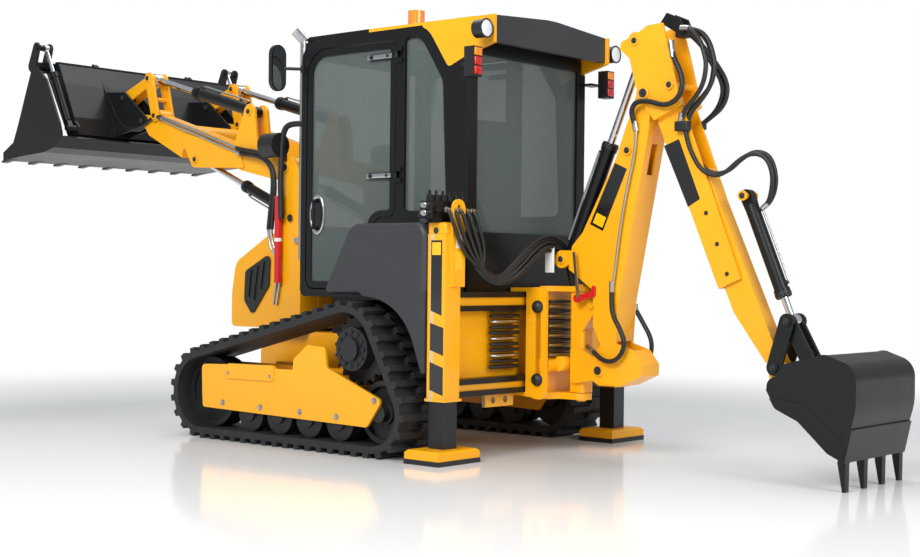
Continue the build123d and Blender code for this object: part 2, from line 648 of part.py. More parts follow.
def rear_visor():
    # a shell with a ridge in the middle, open towards the roof
    def front(t):
        h = CAB_W - CHEEK - t
        return [(-h, VISOR_LOW + t), (h, VISOR_LOW + t), (h, VISOR_EAVE - t), (40, VISOR_PEAK - t),
                (-40, VISOR_PEAK - t), (-h, VISOR_EAVE - t)]

    slope = [(VISOR_X + 34, VISOR_LOW - 1), (VISOR_X1 + 2, VISOR_LOW - 1), (VISOR_X1 + 2, CAB_Z1 - 3)]
    shell = across(poly, front(0), VISOR_X, VISOR_X1) - poly(slope, -CAB_W, CAB_W)
    room = across(poly, front(VISOR_T), VISOR_X + VISOR_T, VISOR_X1 + 1)
    return shell - (room - poly([(x, z + VISOR_T + 2) for x, z in slope] + [(VISOR_X, VISOR_LOW + VISOR_T)],
                                -CAB_W, CAB_W))


NODES["cab_roof"] = joined([cab_roof()])
NODES["rear_visor"] = rear_visor()
glass = [box(CAB_X1 - 26, CAB_X1 - 20, -CAB_W + 60, CAB_W - 60, 1060, 2130),
         box(CAB_X0 + 16, CAB_X0 + 22, -CAB_W + 70, CAB_W - 70, 1150, 2060)]
for s in (-1, 1):
    glass.append(rounded(QUARTER, s * (CAB_W - 24), s * (CAB_W - 18)))
NODES["cab_glass"] = group(glass)


LEAF = shrunk(DOORWAY, GAP)
PANE = shrunk(LEAF, DOOR_RIM)
PANE_Y = CAB_W - 2 - DOOR_T + 8      # inner face of the door's pane
PANE_T = 6.0


def door():
    y1 = CAB_W - 2
    d = rounded(LEAF, y1 - DOOR_T, y1) - rounded(PANE, y1 - DOOR_T - 1, y1 + 1)
    for z in DOOR_HINGE_ZS:
        strap = fuse([box(DOOR_X + 2, DOOR_X + STRAP, CAB_W + 2, CAB_W + 8, z - 16, z + 16),
                      box(DOOR_X + 18, DOOR_X + 50, y1, CAB_W + 8, z - 16, z + 16),
                      rod((DOOR_X + STRAP - 18, PANE_Y + PANE_T, z), (DOOR_X + STRAP - 18, CAB_W + 13, z),
                          11)])
        knuckle = rod((DOOR_X, DOOR_Y, z - 16), (DOOR_X, DOOR_Y, z + 16), DOOR_PIN_R + 5)
        d = fuse([d, strap, knuckle])
        d = d - rod((DOOR_X, DOOR_Y, z - 17), (DOOR_X, DOOR_Y, z + 17), DOOR_PIN_R + FIT)
    # handle bow low on the front edge
    bow = [rod((1262, PANE_Y + PANE_T, z), (1262, CAB_W + 32, z), 9) for z in (1180, 1330)]
    return fuse([d] + bow + [rod((1262, CAB_W + 24, 1180), (1262, CAB_W + 24, 1330), 9)])


side_pair("door", [door()])
side_pair("door_glass", [rounded(PANE, PANE_Y, PANE_Y + PANE_T)])

SEAT = [(400, 1150, 40), (900, 1150, 50), (915, 1256, 45), (540, 1262, 60), (500, 1770, 40), (392, 1770, 50)]
NODES["seat"] = fuse([rounded(SEAT, -235, 235), box(500, 820, -200, 200, CAB_Z0 + 20, 1151)])
NODES["controls"] = joined([box(1230, 1330, -380, 380, CAB_Z0 + 20, 1140),
                            box(1170, 1230, -60, 60, CAB_Z0 + 20, 1200)])


# Side tanks with the fender edge over the rear of the track
TANK_Y = 800.0
TANK_ROUND = 24.0
TANK_Z0, TANK_TOP = 822.0, 1188.0
# from the side, anticlockwise: the tank, and the fender edge below it
TANK = [(178, TANK_Z0, 30), (905, TANK_Z0, 30), (700, TANK_TOP, 90), (178, TANK_TOP, 70)]
FENDER = [(178, 440, 4), (196, 440, 4), (330, 790, 350), (600, TANK_Z0 - 8, 60), (640, TANK_Z0 + 20, 4),
          (178, TANK_Z0 + 20, 0)]


def side_tank():
    body = rounded(TANK, CAB_W, TANK_Y)
    body = fillet(body.faces().sort_by(Axis.Y)[-1].edges(), TANK_ROUND)
    return body + rounded(FENDER, CAB_W, TANK_Y)


def filler_cap():
    return rod((245, 720, TANK_TOP - 1), (245, 720, TANK_TOP + 26), 34)


pair_of("side_tanks", [fuse([side_tank(), filler_cap()])])


# Rear frame
def rear_frame():
    parts = []
    for z0, z1 in (BEAM_TOP_Z, BEAM_LOW_Z):
        parts.append(box(RAIL_X0 + 14, RAIL_X1, -COL_Y0, COL_Y0, z0 + RAIL_T, z1 - RAIL_T))
    parts.append(box(RAIL_X1 - 16, RAIL_X1, -COL_Y0, COL_Y0, 350, 800))
    for s in (-1, 1):
        col = box(COL_X0, COL_X1, s * COL_Y0, s * COL_Y1, COL_Z0, COL_Z1)
        col = col - box(COL_X0 + COL_WALL, COL_X1 - COL_WALL, s * (COL_Y0 + COL_WALL),
                        s * (COL_Y1 - COL_WALL),
                        COL_Z0 - 1, COL_Z1 - COL_WALL)
        flange = box(COL_X0 - 8, COL_X1 + 6, s * (COL_Y0 - 8), s * (COL_Y1 + 8), COL_Z0, COL_Z0 + 14)
        flange = flange - box(COL_X0, COL_X1, s * COL_Y0, s * COL_Y1, COL_Z0 - 1, COL_Z0 + 15)
        parts += [col, flange]
        tab = box(COL_X0 - TAB_T, COL_X0, s * (TAB_Y - TAB_R), s * (TAB_Y + TAB_R), 870, TAB_TOP)
        tab = tab + across(hull, [(s * TAB_Y, TAB_TOP - 40, TAB_R), (s * TAB_Y, TAB_TOP, TAB_R)],
                           COL_X0 - TAB_T, COL_X0)
        parts.append(tab - across(hull, [(s * TAB_Y, TAB_TOP - 58, 13), (s * TAB_Y, TAB_TOP + 8, 13)],
                                  COL_X0 - TAB_T - 1, COL_X0 + 1))
    links = [box(RAIL_X1 - 2, CHASSIS_X0, y0, y1, z0, z1)
             for y0, y1 in ((-300, -200), (200, 300)) for z0, z1 in ((350, 410), (500, 580))]
    tow = box(RAIL_X1, RAIL_X1 + TOW_T, 150, 380, 250, 400)
    for y in TOW_Y:
        tow = tow - rod((RAIL_X1 - 9, y, TOW_Z), (RAIL_X1 + TOW_T + 9, y, TOW_Z), TOW_R)
    return fuse(parts + links + [tow])


NODES["rear_frame"] = joined([rear_frame()])
rails = []
for z0, z1 in (BEAM_TOP_Z, BEAM_LOW_Z):
    for a in (z0, z1 - RAIL_T):
        rails.append(box(RAIL_X0, RAIL_X1 - 16, -COL_Y0, COL_Y0, a, a + RAIL_T))
NODES["side_shift_rails"] = group(rails)


def stabilizer():
    g = COL_WALL + SLIDE
    x0, x1 = COL_X0 + g, COL_X1 - g
    y0, y1 = COL_Y0 + g, COL_Y1 - g
    leg = box(x0, x1, y0, y1, PAD_RUBBER + PAD_H, 880)
    cy = (y0 + y1) / 2
    pad = box(0, PAD_X, cy - PAD_Y / 2, cy + PAD_Y / 2, PAD_RUBBER, PAD_RUBBER + PAD_H)
    pad = chamfer(pad.faces().sort_by(Axis.Z)[-1].edges(), PAD_BEVEL)
    foot = box(-2, PAD_X + 2, cy - PAD_Y / 2 - 2, cy + PAD_Y / 2 + 2, 0, PAD_RUBBER)
    return leg, pad, foot


leg, pad, foot = stabilizer()
side_pair("stabilizer", [fuse([leg, pad]), foot])

# Valve block on top of the left column
VALVES = 6
VALVE_Z = 1204.0


def valve_block():
    y0, pitch = 560.0, 48.0
    block = box(88, 168, y0, y0 + VALVES * pitch, VALVE_Z, VALVE_Z + 86)
    foot = box(100, 160, COL_Y0 + 20, COL_Y1 - 20, COL_Z1, VALVE_Z)
    parts = [block, foot]
    for i in range(VALVES):
        y = y0 + (i + 0.5) * pitch
        parts += [rod((128, y, VALVE_Z + 84), (128, y, VALVE_Z + 118), 16),
                  rod((128, y, VALVE_Z + 118), (128, y, VALVE_Z + 140), 7),
                  rod((92, y, VALVE_Z + 42), (62, y, VALVE_Z + 42), 13)]
        if i:
            groove = y0 + i * pitch
            parts[0] = parts[0] - box(87, 169, groove - 2, groove + 2, VALVE_Z + 80, VALVE_Z + 87)
    return fuse(parts)


NODES["valve_block"] = joined([valve_block()])

# Trim with its own places
NODES["exhaust_stack"] = joined([rod((1440, 430, 1000), (1440, 430, 2180), 28),
                                 box(1440, 1520, ARM_Y + TOWER_OUT, ARM_Y + TOWER_OUT + 16, 1100, 1130),
                                 pipe([(1440, 430, 2170), (1440, 430, 2240), (1480, 470, 2300)], 28)])
mirrors = []
for s in (-1, 1):
    mirrors.append(fuse([across(hull, [(s * (CAB_W + 130), 1996, 56), (s * (CAB_W + 130), 2142, 56)], 1440,
                                1462),
                         box(1362, 1388, s * CAB_W, s * (CAB_W + 14), 2050, 2090),
                         rod((1375, s * (CAB_W + 12), 2070), (1450, s * (CAB_W + 100), 2070), 9)]))
NODES["mirrors"] = group(mirrors)
lamps = []
for s in (-1, 1):
    lamps.append(fuse([rod((0, s * (CAB_W + 60), 2158), (60, s * (CAB_W + 60), 2158), 46),
                       rod((48, s * CAB_W, 2158), (48, s * (CAB_W + 60), 2158), 10)]))
NODES["work_lamps"] = group(lamps)
NODES["tail_lamps"] = group([fuse([box(40, 100, s * (CAB_W + 40), s * (CAB_W + 110), 1920, 2070),
                                   box(95, CAB_X0, s * (CAB_W - 30), s * (CAB_W + 60), 1985,
                                       1997)]) for s in (-1, 1)])
NODES["beacon"] = joined([rod(BEACON + (ROOF_TOP,), BEACON + (ROOF_TOP + 26,), 60),
                          rod(BEACON + (ROOF_TOP + 26,), BEACON + (ROOF_TOP + 130,), 46)])
NODES["headlamps"] = group([fuse([rod((1600, s * 466, 1660), (1720, s * 466, 1660), 70),
                                  box(1600, 1640, s * (ARM_Y + TOWER_OUT), s * (ARM_Y + TOWER_OUT + 16),
                                      1570, 1640)])
                            for s in (-1, 1)])
NODES["safety_strut"] = rod((1640, STRUT_Y, 870), (1640, STRUT_Y, 1370), STRUT_R)


# Loader arms
def loader_arm():
    y0, y1 = ARM_Y - ARM_HALF, ARM_Y + ARM_HALF
    body = poly([(2917, 1790), (2961, 1846), (2961, 1920), (2775, 1905), (2000, 1668), (1620, 1590),
                 (1590, 1478),
                 (1729, 1470), (2316, 1596), (2383, 1566), (2470, 1580)], y0, y1)
    parts = [body, ycyl(HITCH, 40, y0, y1), ycyl(PIVOT, 60, y0, y1), ycyl(CRANK_LOW, 40, y0, y1)]
    for a, b in ((y0 - BRACKET_T, y0), (y1, y1 + BRACKET_T)):
        parts.append(hull([(1900, 1660, 30), (2040, 1700, 30), TILT_BASE + (46,)], a, b))
    arm = fuse(parts)
    # the lift ram swings in an open mouth of the belly, between two cheek plates
    mouth = hull([(2536, 1646, 50), (2430, 1668, 62), (2060, 1500, 44), (2300, 1380, 60)], y0 - 1, y1 + 1)
    arm = arm - mouth
    for a, b in ((y0 - CHEEK_T, y0), (y1, y1 + CHEEK_T)):
        arm = arm + hull([LIFT_PIN + (50,), (2560, 1760, 24), (2060, 1646, 20), (2010, 1560, 12)], a, b)
    for pt, r in ((PIVOT, MAIN_PIN_R), (HITCH, PIN_R), (CRANK_LOW, PIN_R)):
        arm = bored(arm, pt, r)
    held = pin_heads(LIFT_PIN, ARM_Y, ARM_HALF + CHEEK_T) + [pin(TILT_BASE, ARM_Y, ARM_HALF + BRACKET_T)]
    return fuse([arm] + bosses(TILT_BASE, ARM_Y, EYE_W / 2 + PIN_GAP, ARM_HALF, 30) + held)


arm_l = loader_arm()
cross_tube = rod((CROSS_TUBE[0], -ARM_Y, CROSS_TUBE[1]), (CROSS_TUBE[0], ARM_Y, CROSS_TUBE[1]), 52)
NODES["loader_arms"] = joined([arm_l, mirror_y(arm_l), cross_tube])


b, r = ram("lift", ARM_Y)
pair_of("lift_barrels", [b])
pair_of("lift_rods", [r])
b, r = ram("tilt", ARM_Y)
pair_of("tilt_barrels", [b])
pair_of("tilt_rods", [r])

# bell-cranks: two plates each, outside the arm
crank = fuse([hull([CRANK_LOW + (34,), CRANK_TOP + (38,)], ARM_Y + a, ARM_Y + b)
              for a, b in ((-CRANK_OUT, -CRANK_IN), (CRANK_IN, CRANK_OUT))] +
             [pin(CRANK_LOW, ARM_Y, CRANK_OUT)] + pin_heads(CRANK_TOP, ARM_Y, CRANK_OUT) +
             bosses(CRANK_TOP, ARM_Y, TLINK_OUT + SLIDE, CRANK_IN, 30))
spacer_at = toward(CRANK_LOW, CRANK_TOP, 110)
crank = crank + ycyl(spacer_at, 14, ARM_Y - CRANK_IN - 4, ARM_Y + CRANK_IN + 4)
pair_of("bell_cranks", [crank])
link_mid = toward(CRANK_TOP, LINK_PIN, dist2(CRANK_TOP, LINK_PIN) / 2)
link = fuse([hull([CRANK_TOP + (30,), LINK_PIN + (38,)], ARM_Y + a, ARM_Y + b)
             for a, b in ((-TLINK_OUT, -TLINK_IN), (TLINK_IN, TLINK_OUT))] +
            [ycyl(link_mid, 14, ARM_Y - TLINK_IN - 4, ARM_Y + TLINK_IN + 4)])
pair_of("tilt_links", [bored(link, LINK_PIN)])


# Shovel back with its hitch ears
def shovel_back():
    w = BACK_HALF
    rear = [(3300, 1742), (3236, 1790), (3262, 1900), (3368, 2120), (3448, 2262)]
    front = [(3464, 2256), (3384, 2112), (3278, 1893), (3254, 1798), (3308, 1754)]
    parts = [poly(rear + front, -w, w)]
    parts.append(box(3440, 3476, -w, w, 2190, 2262))
    for y in (-ARM_Y, ARM_Y):
        for a, b in ((-CRANK_OUT, -CRANK_IN), (CRANK_IN, CRANK_OUT)):
            parts.append(hull([HITCH + (38,), (3262, 1808, 12), (3350, 2080, 8), LINK_PIN + (38,)], y + a,
                              y + b))
        parts += [pin(HITCH, y, CRANK_OUT), pin(LINK_PIN, y, CRANK_OUT)]
    for s in (-1, 1):
        parts.append(hull([(3300, 1760, 16), CLAM_PIVOT + (36,), (3440, 2225, 16), (3270, 1880, 12)],
                          s * (w - PLATE), s * w))
        parts.append(ycyl(CLAM_PIVOT, 34, s * (w - PLATE - 14), s * (w - PLATE)))
        base_plate = hull([CLAM_RAM_BASE + (28,), (3290, 1786, 12), (3280, 1880, 12)], s * (w - PLATE),
                          s * w)
        parts.append(base_plate)
        eye_a, eye_b = CLAM_RAM_Y - CLAM_EYE_W / 2 - 1, CLAM_RAM_Y + CLAM_EYE_W / 2 + 1
        parts += [ycyl(CLAM_RAM_BASE, 20, s * w, s * eye_a),
                  ycyl(CLAM_RAM_BASE, CLAM_PIN_R, s * w, s * (eye_b + 1)),
                  ycyl(CLAM_RAM_BASE, 18, s * eye_b, s * (eye_b + 8))]
    return bored(fuse(parts), CLAM_PIVOT, PIN_R)


NODES["shovel_back"] = joined([shovel_back()])


def clam_jaw():
    w = SHOVEL_HALF
    side = [(3537, 2246), (3700, 1860), (3752, 1752), (3866, 1692), (3866, 1640), (3640, 1660), (3403, 1674),
            (3300, 1700), (3222, 1762), (3222, 1790), (3244, 1856), (3388, 2134), (3470, 2200)]
    floor = [(3866, 1640), (3640, 1660), (3403, 1674), (3300, 1700), (3222, 1762), (3232, 1772),
             (3306, 1714),
             (3406, 1690), (3642, 1676), (3866, 1656)]
    parts = [poly(floor, -w, w)]
    for s in (-1, 1):
        parts.append(poly(side, s * (w - PLATE), s * w))
        parts.append(hull([CLAM_EAR + (32,), CLAM_PIVOT + (40,)][::-1], s * (w - PLATE), s * w))
        parts.append(hull([CLAM_EAR + (32,), CLAM_PIVOT + (40,)][::-1], s * EAR_IN, s * (EAR_IN + PLATE)))
        parts.append(ycyl(CLAM_PIVOT, 30, s * EAR_IN, s * w))
        parts.append(ycyl(CLAM_PIVOT, PIN_R, s * (BACK_HALF - PLATE - 16), s * EAR_IN))
        parts.append(ycyl(CLAM_PIVOT, PIN_R + 9, s * (BACK_HALF - PLATE - 24), s * (BACK_HALF - PLATE - 15)))
        parts.append(ycyl(CLAM_EAR, 18, s * (EAR_IN - 8), s * EAR_IN))
        parts.append(ycyl(CLAM_EAR, 18, s * (CLAM_RAM_Y + CLAM_EYE_W / 2 + SLIDE), s * (w + 8)))
    for i in range(SHOVEL_TEETH):
        y = -w + 40 + i * (2 * w - 80) / (SHOVEL_TEETH - 1)
        parts.append(poly([(3800, 1644), (3912, 1628), (3914, 1636), (3850, 1668), (3800, 1668)], y - 22,
                          y + 22))
    return fuse(parts)


NODES["clam_jaw"] = joined([clam_jaw()])
b, r = ram("clam", CLAM_RAM_Y, 26.0, CLAM_PIN_R)
pair_of("clam_barrels", [b])
pair_of("clam_rods", [r])


# Backhoe carriage on its rails
def carriage():
    parts = []
    h = CARR_HALF
    for s in (-1, 1):
        y0, y1 = YK + s * (h - 22), YK + s * h
        loop = hull([(-46, 330, 40), (-22, 330, 40), (-22, 830, 40), (-46, 830, 40)][:4], min(y0, y1),
                    max(y0, y1))
        parts.append(loop - hull([(-36, 392, 19), (-36, 768, 19)], min(y0, y1) - 1, max(y0, y1) + 1))
    back = box(-20, RAIL_X0 - GAP, YK - h, YK + h, 300, 868)
    top_hook = box(-20, RAIL_X1 + 16, YK - h, YK + h, RAIL_TOP + SLIDE, RAIL_TOP + SLIDE + 20)
    low_hook = box(-20, RAIL_X1 - 10, YK - h, YK + h, RAIL_BOTTOM - SLIDE - 20, RAIL_BOTTOM - SLIDE)
    parts += [back, top_hook, low_hook]
    for z0, z1 in (ARM_TOP_Z, ARM_LOW_Z):
        arm = plan([(-10, YK - 150), (-10, YK + 150), (-46, YK + 132), (SLEW_X + 88, YK + SLEW_R),
                    (SLEW_X, YK + SLEW_R), (SLEW_X, YK - SLEW_R), (SLEW_X + 88, YK - SLEW_R),
                    (-46, YK - 132)], z0, z1)
        arm = arm + rod((SLEW_X, YK, z0), (SLEW_X, YK, z1), SLEW_R)
        arm = arm - rod((SLEW_X, YK, z0 - 1), (SLEW_X, YK, z1 + 1), 24 + FIT)
        parts.append(arm)
    return fuse(parts)


NODES["carriage"] = joined([carriage()])
NODES["slew_actuator"] = joined([rod((-58, YK - 170, 465), (-58, YK + 170, 465), 36)] +
                                [box(-58, -20, YK + a, YK + a + 40, 432, 498) for a in (-165, 125)])


def kingpost():
    post = box(SLEW_X - 48, SLEW_X + 48, YK - POST_OUT, YK + POST_OUT, ARM_LOW_Z[1] + 3, ARM_TOP_Z[0] - 3)
    post = fillet(post.edges().filter_by(Axis.Z), 20)
    shafts = rod((SLEW_X, YK, ARM_LOW_Z[0] - 10), (SLEW_X, YK, ARM_TOP_Z[1] + 10), 24)
    slot_w = EYE_W / 2 + PIN_GAP
    post = post + hull([BOOM_RAM_BASE + (CLEVIS_R,), (SLEW_X, 640, 30), (SLEW_X, 796, 30)],
                       YK - POST_OUT, YK + POST_OUT)
    post = post - hull([BOOM_RAM_BASE + (EYE_R + 4,),
                        toward(BOOM_RAM_BASE, BOOM_RAM_TOP, 130) + (EYE_R + 4,),
                        (BOOM_RAM_BASE[0] - 160, BOOM_RAM_BASE[1] - 10, EYE_R)], YK - slot_w, YK + slot_w)
    lug = hull([FOOT + (46,), (SLEW_X, 400, 26), (SLEW_X, 540, 26)], YK - LUG_HALF, YK + LUG_HALF)
    lug = lug - hull([FOOT + (58,), (SLEW_X - 84, 440, 20), (SLEW_X - 84, 490, 20)], YK - LUG_HALF + 22,
                     YK + LUG_HALF - 22)
    part = bored(fuse([post, lug]), FOOT, MAIN_PIN_R)
    return fuse([part, pin(BOOM_RAM_BASE, YK, POST_OUT), shafts])


NODES["kingpost"] = joined([kingpost()])

BOOM_FRONT = [(-160, 1083), (-227, 1154), (-431, 1531), (-489, 1687), (-560, 1830)]
BOOM_REAR = [(-640, 1812), (-618, 1630), (-453, 793), (-440, 590), (-540, 560), (-596, 491), (-596, 432),
             (-471, 376), (-337, 373)]
BOOM_LOW = [(-290, 400), (-264, 449), (-290, 500), (-346, 580), (-296, 680), (-301, 770), (-290, 860),
            (-140, 965)]


def boom():
    outline = BOOM_FRONT + BOOM_REAR + BOOM_LOW
    parts = []
    for a, b in ((-BOOM_OUT, -BOOM_IN), (BOOM_IN, BOOM_OUT)):
        parts.append(poly(outline, YK + a, YK + b))
        parts.append(hull([EAR + (46,), (-240, 1000, 60), (-230, 1080, 40)], YK + a, YK + b))
        parts.append(ycyl(FOOT, 62, YK + a, YK + b))
        parts.append(hull([ELBOW + (52,), (-560, 1760, 40)], YK + a, YK + b))
    rear = poly([(-638, 1790), (-618, 1630), (-453, 793), (-440, 600), (-428, 600), (-441, 796),
                 (-606, 1632),
                 (-626, 1790)], YK - BOOM_IN - 1, YK + BOOM_IN + 1)
    # window behind the boom ram's rod eye
    rear = rear - hull([(-570, 1450, 14), (-540, 1450, 14), (-560, 1580, 14), (-640, 1580, 14)],
                       YK - EYE_W / 2 - GAP, YK + EYE_W / 2 + GAP)
    foot = poly([(-540, 560), (-596, 491), (-596, 432), (-471, 376), (-420, 376), (-420, 400), (-470, 400),
                 (-570, 445), (-570, 490), (-520, 545)], YK - BOOM_IN - 1, YK + BOOM_IN + 1)
    out = bored(fuse(parts + [rear, foot, ycyl(ELBOW, 42, YK - BOOM_IN, YK + BOOM_IN)]), ELBOW, MAIN_PIN_R)
    held = bosses(EAR, YK, EYE_W / 2 + PIN_GAP, BOOM_IN, 30)
    held += [pin(EAR, YK, BOOM_OUT), pin(FOOT, YK, BOOM_OUT, MAIN_PIN_R)]
    held += bosses(BOOM_RAM_TOP, YK, EYE_W / 2 + SLIDE, BOOM_IN, 30) + pin_heads(BOOM_RAM_TOP, YK, BOOM_OUT)
    return fuse([out] + held)


NODES["boom"] = joined([boom()])
b, r = ram("boom", YK)
NODES["boom_barrel"], NODES["boom_rod"] = b, r
b, r = ram("dipper", YK)
NODES["dipper_barrel"], NODES["dipper_rod"] = b, r
NODES["boom_lock"] = fuse([hull([(-300, 838, 16), (-200, 812, 14)], YK + BOOM_OUT, YK + BOOM_OUT + 12),
                           hull([(-300, 838, 16), (-306, 872, 9)], YK + BOOM_OUT, YK + BOOM_OUT + 12),
                           ycyl((-206, 814), 22, YK + BOOM_OUT, YK + BOOM_OUT + 18)])

# Dipper: s runs down the arm, t to the rear, from the elbow
UX, UZ = -0.397, -0.918
_n = math.hypot(UX, UZ)
UX, UZ = UX / _n, UZ / _n


def dp(s, t):
    return (ELBOW[0] + s * UX + t * UZ, ELBOW[1] + s * UZ - t * UX)


def dst(p):
    dx, dz = p[0] - ELBOW[0], p[1] - ELBOW[1]
    return (dx * UX + dz * UZ, dx * UZ - dz * UX)


OUT_END = 1052.0
WEAR_S = (560.0, 760.0, 960.0)
IN_T0, IN_T1 = 34.0, 150.0


def dipper_outer():
    parts = []
    head = [dp(-292, 60), dp(-300, 150), dp(-270, 230), dp(-60, 200), dp(150, 168), dp(150, 0), dp(40, -30),
            dp(-60, -30), dp(-200, -10), dp(-270, -44), dp(-300, -20)]
    for a, b in ((-HEAD_OUT, -HEAD_IN), (HEAD_IN, HEAD_OUT)):
        parts.append(poly(head, YK + a, YK + b))
        parts.append(ycyl(HEAD_PIN, 44, YK + a, YK + b))
        parts.append(ycyl(ELBOW, 46, YK + a, YK + b))
    # step plates from the wide head to the narrow lower part
    for s in (-1, 1):
        parts.append(poly([dp(104, 30), dp(104, 168), dp(150, 168), dp(150, 14)], YK + s * DIP_IN,
                          YK + s * HEAD_OUT))
        parts.append(poly([dp(104, 30), dp(104, 160), dp(OUT_END, 128), dp(OUT_END, 0), dp(160, 0)],
                          YK + s * DIP_IN,
                          YK + s * DIP_OUT))
    parts.append(poly([dp(160, 0), dp(160, 14), dp(OUT_END, 14), dp(OUT_END, 0)], YK - DIP_OUT,
                      YK + DIP_OUT))
    # wear pads that guide the sliding dipper
    for s in (-1, 1):
        for a in WEAR_S:
            parts.append(poly([dp(a, 40), dp(a, 118), dp(a + 70, 118), dp(a + 70, 40)],
                              YK + s * (INNER_HALF + SLIDE), YK + s * (DIP_IN + 1)))
    held = bosses(HEAD_PIN, YK, EYE_W / 2 + SLIDE, HEAD_IN, 30) + pin_heads(HEAD_PIN, YK, HEAD_OUT)
    held += [pin(ELBOW, YK, HEAD_OUT, MAIN_PIN_R), pin(EXT_PIN, YK, HEAD_OUT)]
    return fuse(parts + held)


NODES["dipper_outer"] = joined([dipper_outer()])

IN_TOP = 478.0


def dipper_inner():
    lk = dst(LINK_LOW)
    h = INNER_HALF
    body = poly([dp(IN_TOP, 22), dp(1180, 22), dp(lk[0] - 40, lk[1] - 40), dp(lk[0] + 10, lk[1] + 36),
                 dp(1000, 158), dp(IN_TOP, 150)], YK - h, YK + h)
    tip = hull([BUCKET_PIN + (44,), LINK_LOW + (42,)], YK - h, YK + h)
    slot_w = EYE_W / 2 + PIN_GAP
    ear = hull([CROWD_PIN + (CLEVIS_R,), dp(IN_TOP + 300, 130) + (16,), dp(IN_TOP + 20, 100) + (16,)][::-1],
               YK - h, YK + h)
    slot = hull([CROWD_PIN + (EYE_R + 4,), toward(CROWD_PIN, LINK_TOP, 300) + (EYE_R + 4,)], YK - slot_w,
                YK + slot_w)
    wide = hull([toward(CROWD_PIN, LINK_TOP, CLEVIS_R + 44) + (RAMS["bucket"]["rb"] + 10,),
                 toward(CROWD_PIN, LINK_TOP, 560) + (RAMS["bucket"]["rb"] + 10,)], YK - h - 1, YK + h + 1)
    out = fuse([((body + ear) - slot) - wide, tip])
    out = bored(bored(out, LINK_LOW), BUCKET_PIN)
    return fuse([out, pin(CROWD_PIN, YK, h)])


NODES["dipper_inner"] = joined([dipper_inner()])
b, r = ram("bucket", YK)
NODES["bucket_barrel"], NODES["bucket_rod"] = b, r

tl = [hull([LINK_LOW + (38,), LINK_TOP + (38,)], YK + s * TIP_IN, YK + s * TIP_OUT) for s in (-1, 1)]
NODES["tipping_links"] = fuse(tl + [pin(LINK_LOW, YK, TIP_OUT)] + pin_heads(LINK_TOP, YK, TIP_OUT) +
                              bosses(LINK_TOP, YK, LINK_OUT + SLIDE, TIP_IN, 30))
bl = [hull([LINK_TOP + (34,), BUCKET_LINK_PIN + (36,)], YK + s * LINK_IN, YK + s * LINK_OUT)
      for s in (-1, 1)]
bl_mid = ((LINK_TOP[0] * 0.4 + BUCKET_LINK_PIN[0] * 0.6), (LINK_TOP[1] * 0.4 + BUCKET_LINK_PIN[1] * 0.6))
bl.append(ycyl(bl_mid, 20, YK - LINK_OUT, YK + LINK_OUT))
NODES["bucket_link"] = bored(fuse(bl), BUCKET_LINK_PIN)

# the digging bucket from the side, anticlockwise from its lip: x, z, corner radius
BUCKET_BACK = [(-1700, 600, 60), (-1852, 548, 90), (-1852, 360, 300)]
BUCKET_SHELL = [(-1788, 136, 0), (-1425, 418, 0), (-1484, 398, 20), (-1604, 470, 60),
                (-1650, 576, 40)] + BUCKET_BACK
BUCKET_EDGE = [(-1788, 136, 0), (-1722, 166, 30), (-1647, 234, 30), (-1578, 296, 40), (-1464, 345, 40),
               (-1415, 427, 6)]
BUCKET_SIDE = BUCKET_EDGE + [(-1500, 545, 20), (-1588, 570, 20)] + BUCKET_BACK
BUCKET_TEETH = 4


def digging_bucket():
    w = BUCKET_HALF
    t = BUCKET_WALL
    parts = [bowl(BUCKET_SHELL, t, YK - w, YK + w)]
    for s in (-1, 1):
        parts.append(rounded(BUCKET_SIDE, YK + s * (w - t), YK + s * w))
        parts.append(rounded(BUCKET_EDGE[:-1] + [(-1436, 391, 0), (-1600, 372, 40), (-1812, 200, 6)],
                             YK + s * w,
                             YK + s * (w + 8)))
        parts.append(hull([BUCKET_PIN + (46,), (-1450, 500, 20), (-1560, 545, 12), BUCKET_LINK_PIN + (40,)],
                          YK + s * BUCKET_EAR_IN, YK + s * BUCKET_EAR_OUT))
        parts.append(poly([(-1425, 380), (-1480, 520), (-1588, 560), (-1654, 582), (-1610, 462),
                           (-1484, 390)],
                          YK + s * BUCKET_EAR_IN, YK + s * BUCKET_EAR_OUT))
    for i in range(BUCKET_TEETH):
        y = YK - w + 30 + i * (2 * w - 60) / (BUCKET_TEETH - 1)
        parts.append(poly([(-1828, 250), (-1802, 120), (-1800, 0), (-1786, 0), (-1762, 130), (-1786, 200)],
                          y - 18, y + 18))
    parts.append(poly([(-1836, 277), (-1804, 130), (-1778, 136), (-1806, 277)], YK - w - 4, YK + w + 4))
    parts += bosses(BUCKET_PIN, YK, INNER_HALF + PIN_GAP, BUCKET_EAR_IN, 25)
    parts += bosses(BUCKET_LINK_PIN, YK, LINK_OUT + PIN_GAP, BUCKET_EAR_IN, 26)
    parts += [pin(BUCKET_PIN, YK, BUCKET_EAR_OUT), pin(BUCKET_LINK_PIN, YK, BUCKET_EAR_OUT)]
    return fuse(parts)


NODES["digging_bucket"] = joined([digging_bucket()])

# Store: the middle of the whole length goes to x = 0
xs0 = min(s.bounding_box().min.X for s in NODES.values())
xs1 = max(s.bounding_box().max.X for s in NODES.values())
SHIFT = -(xs0 + xs1) / 2

os.makedirs("parts", exist_ok=True)
for name, shape in NODES.items():
    export_step(Pos(SHIFT, 0, 0) * shape, "parts/" + name + ".step")
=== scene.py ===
# %% [markdown]
# # Looks of a compact tracked backhoe loader
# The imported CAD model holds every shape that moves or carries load. This lesson dresses it: each steel,
# rubber and glass surface gets the finish of the real one, and the hoses, pipes, lamps and labels are
# modelled here.

# %% Load the frame
import json
import math

import bmesh
import bpy
from mathutils import Matrix, Vector


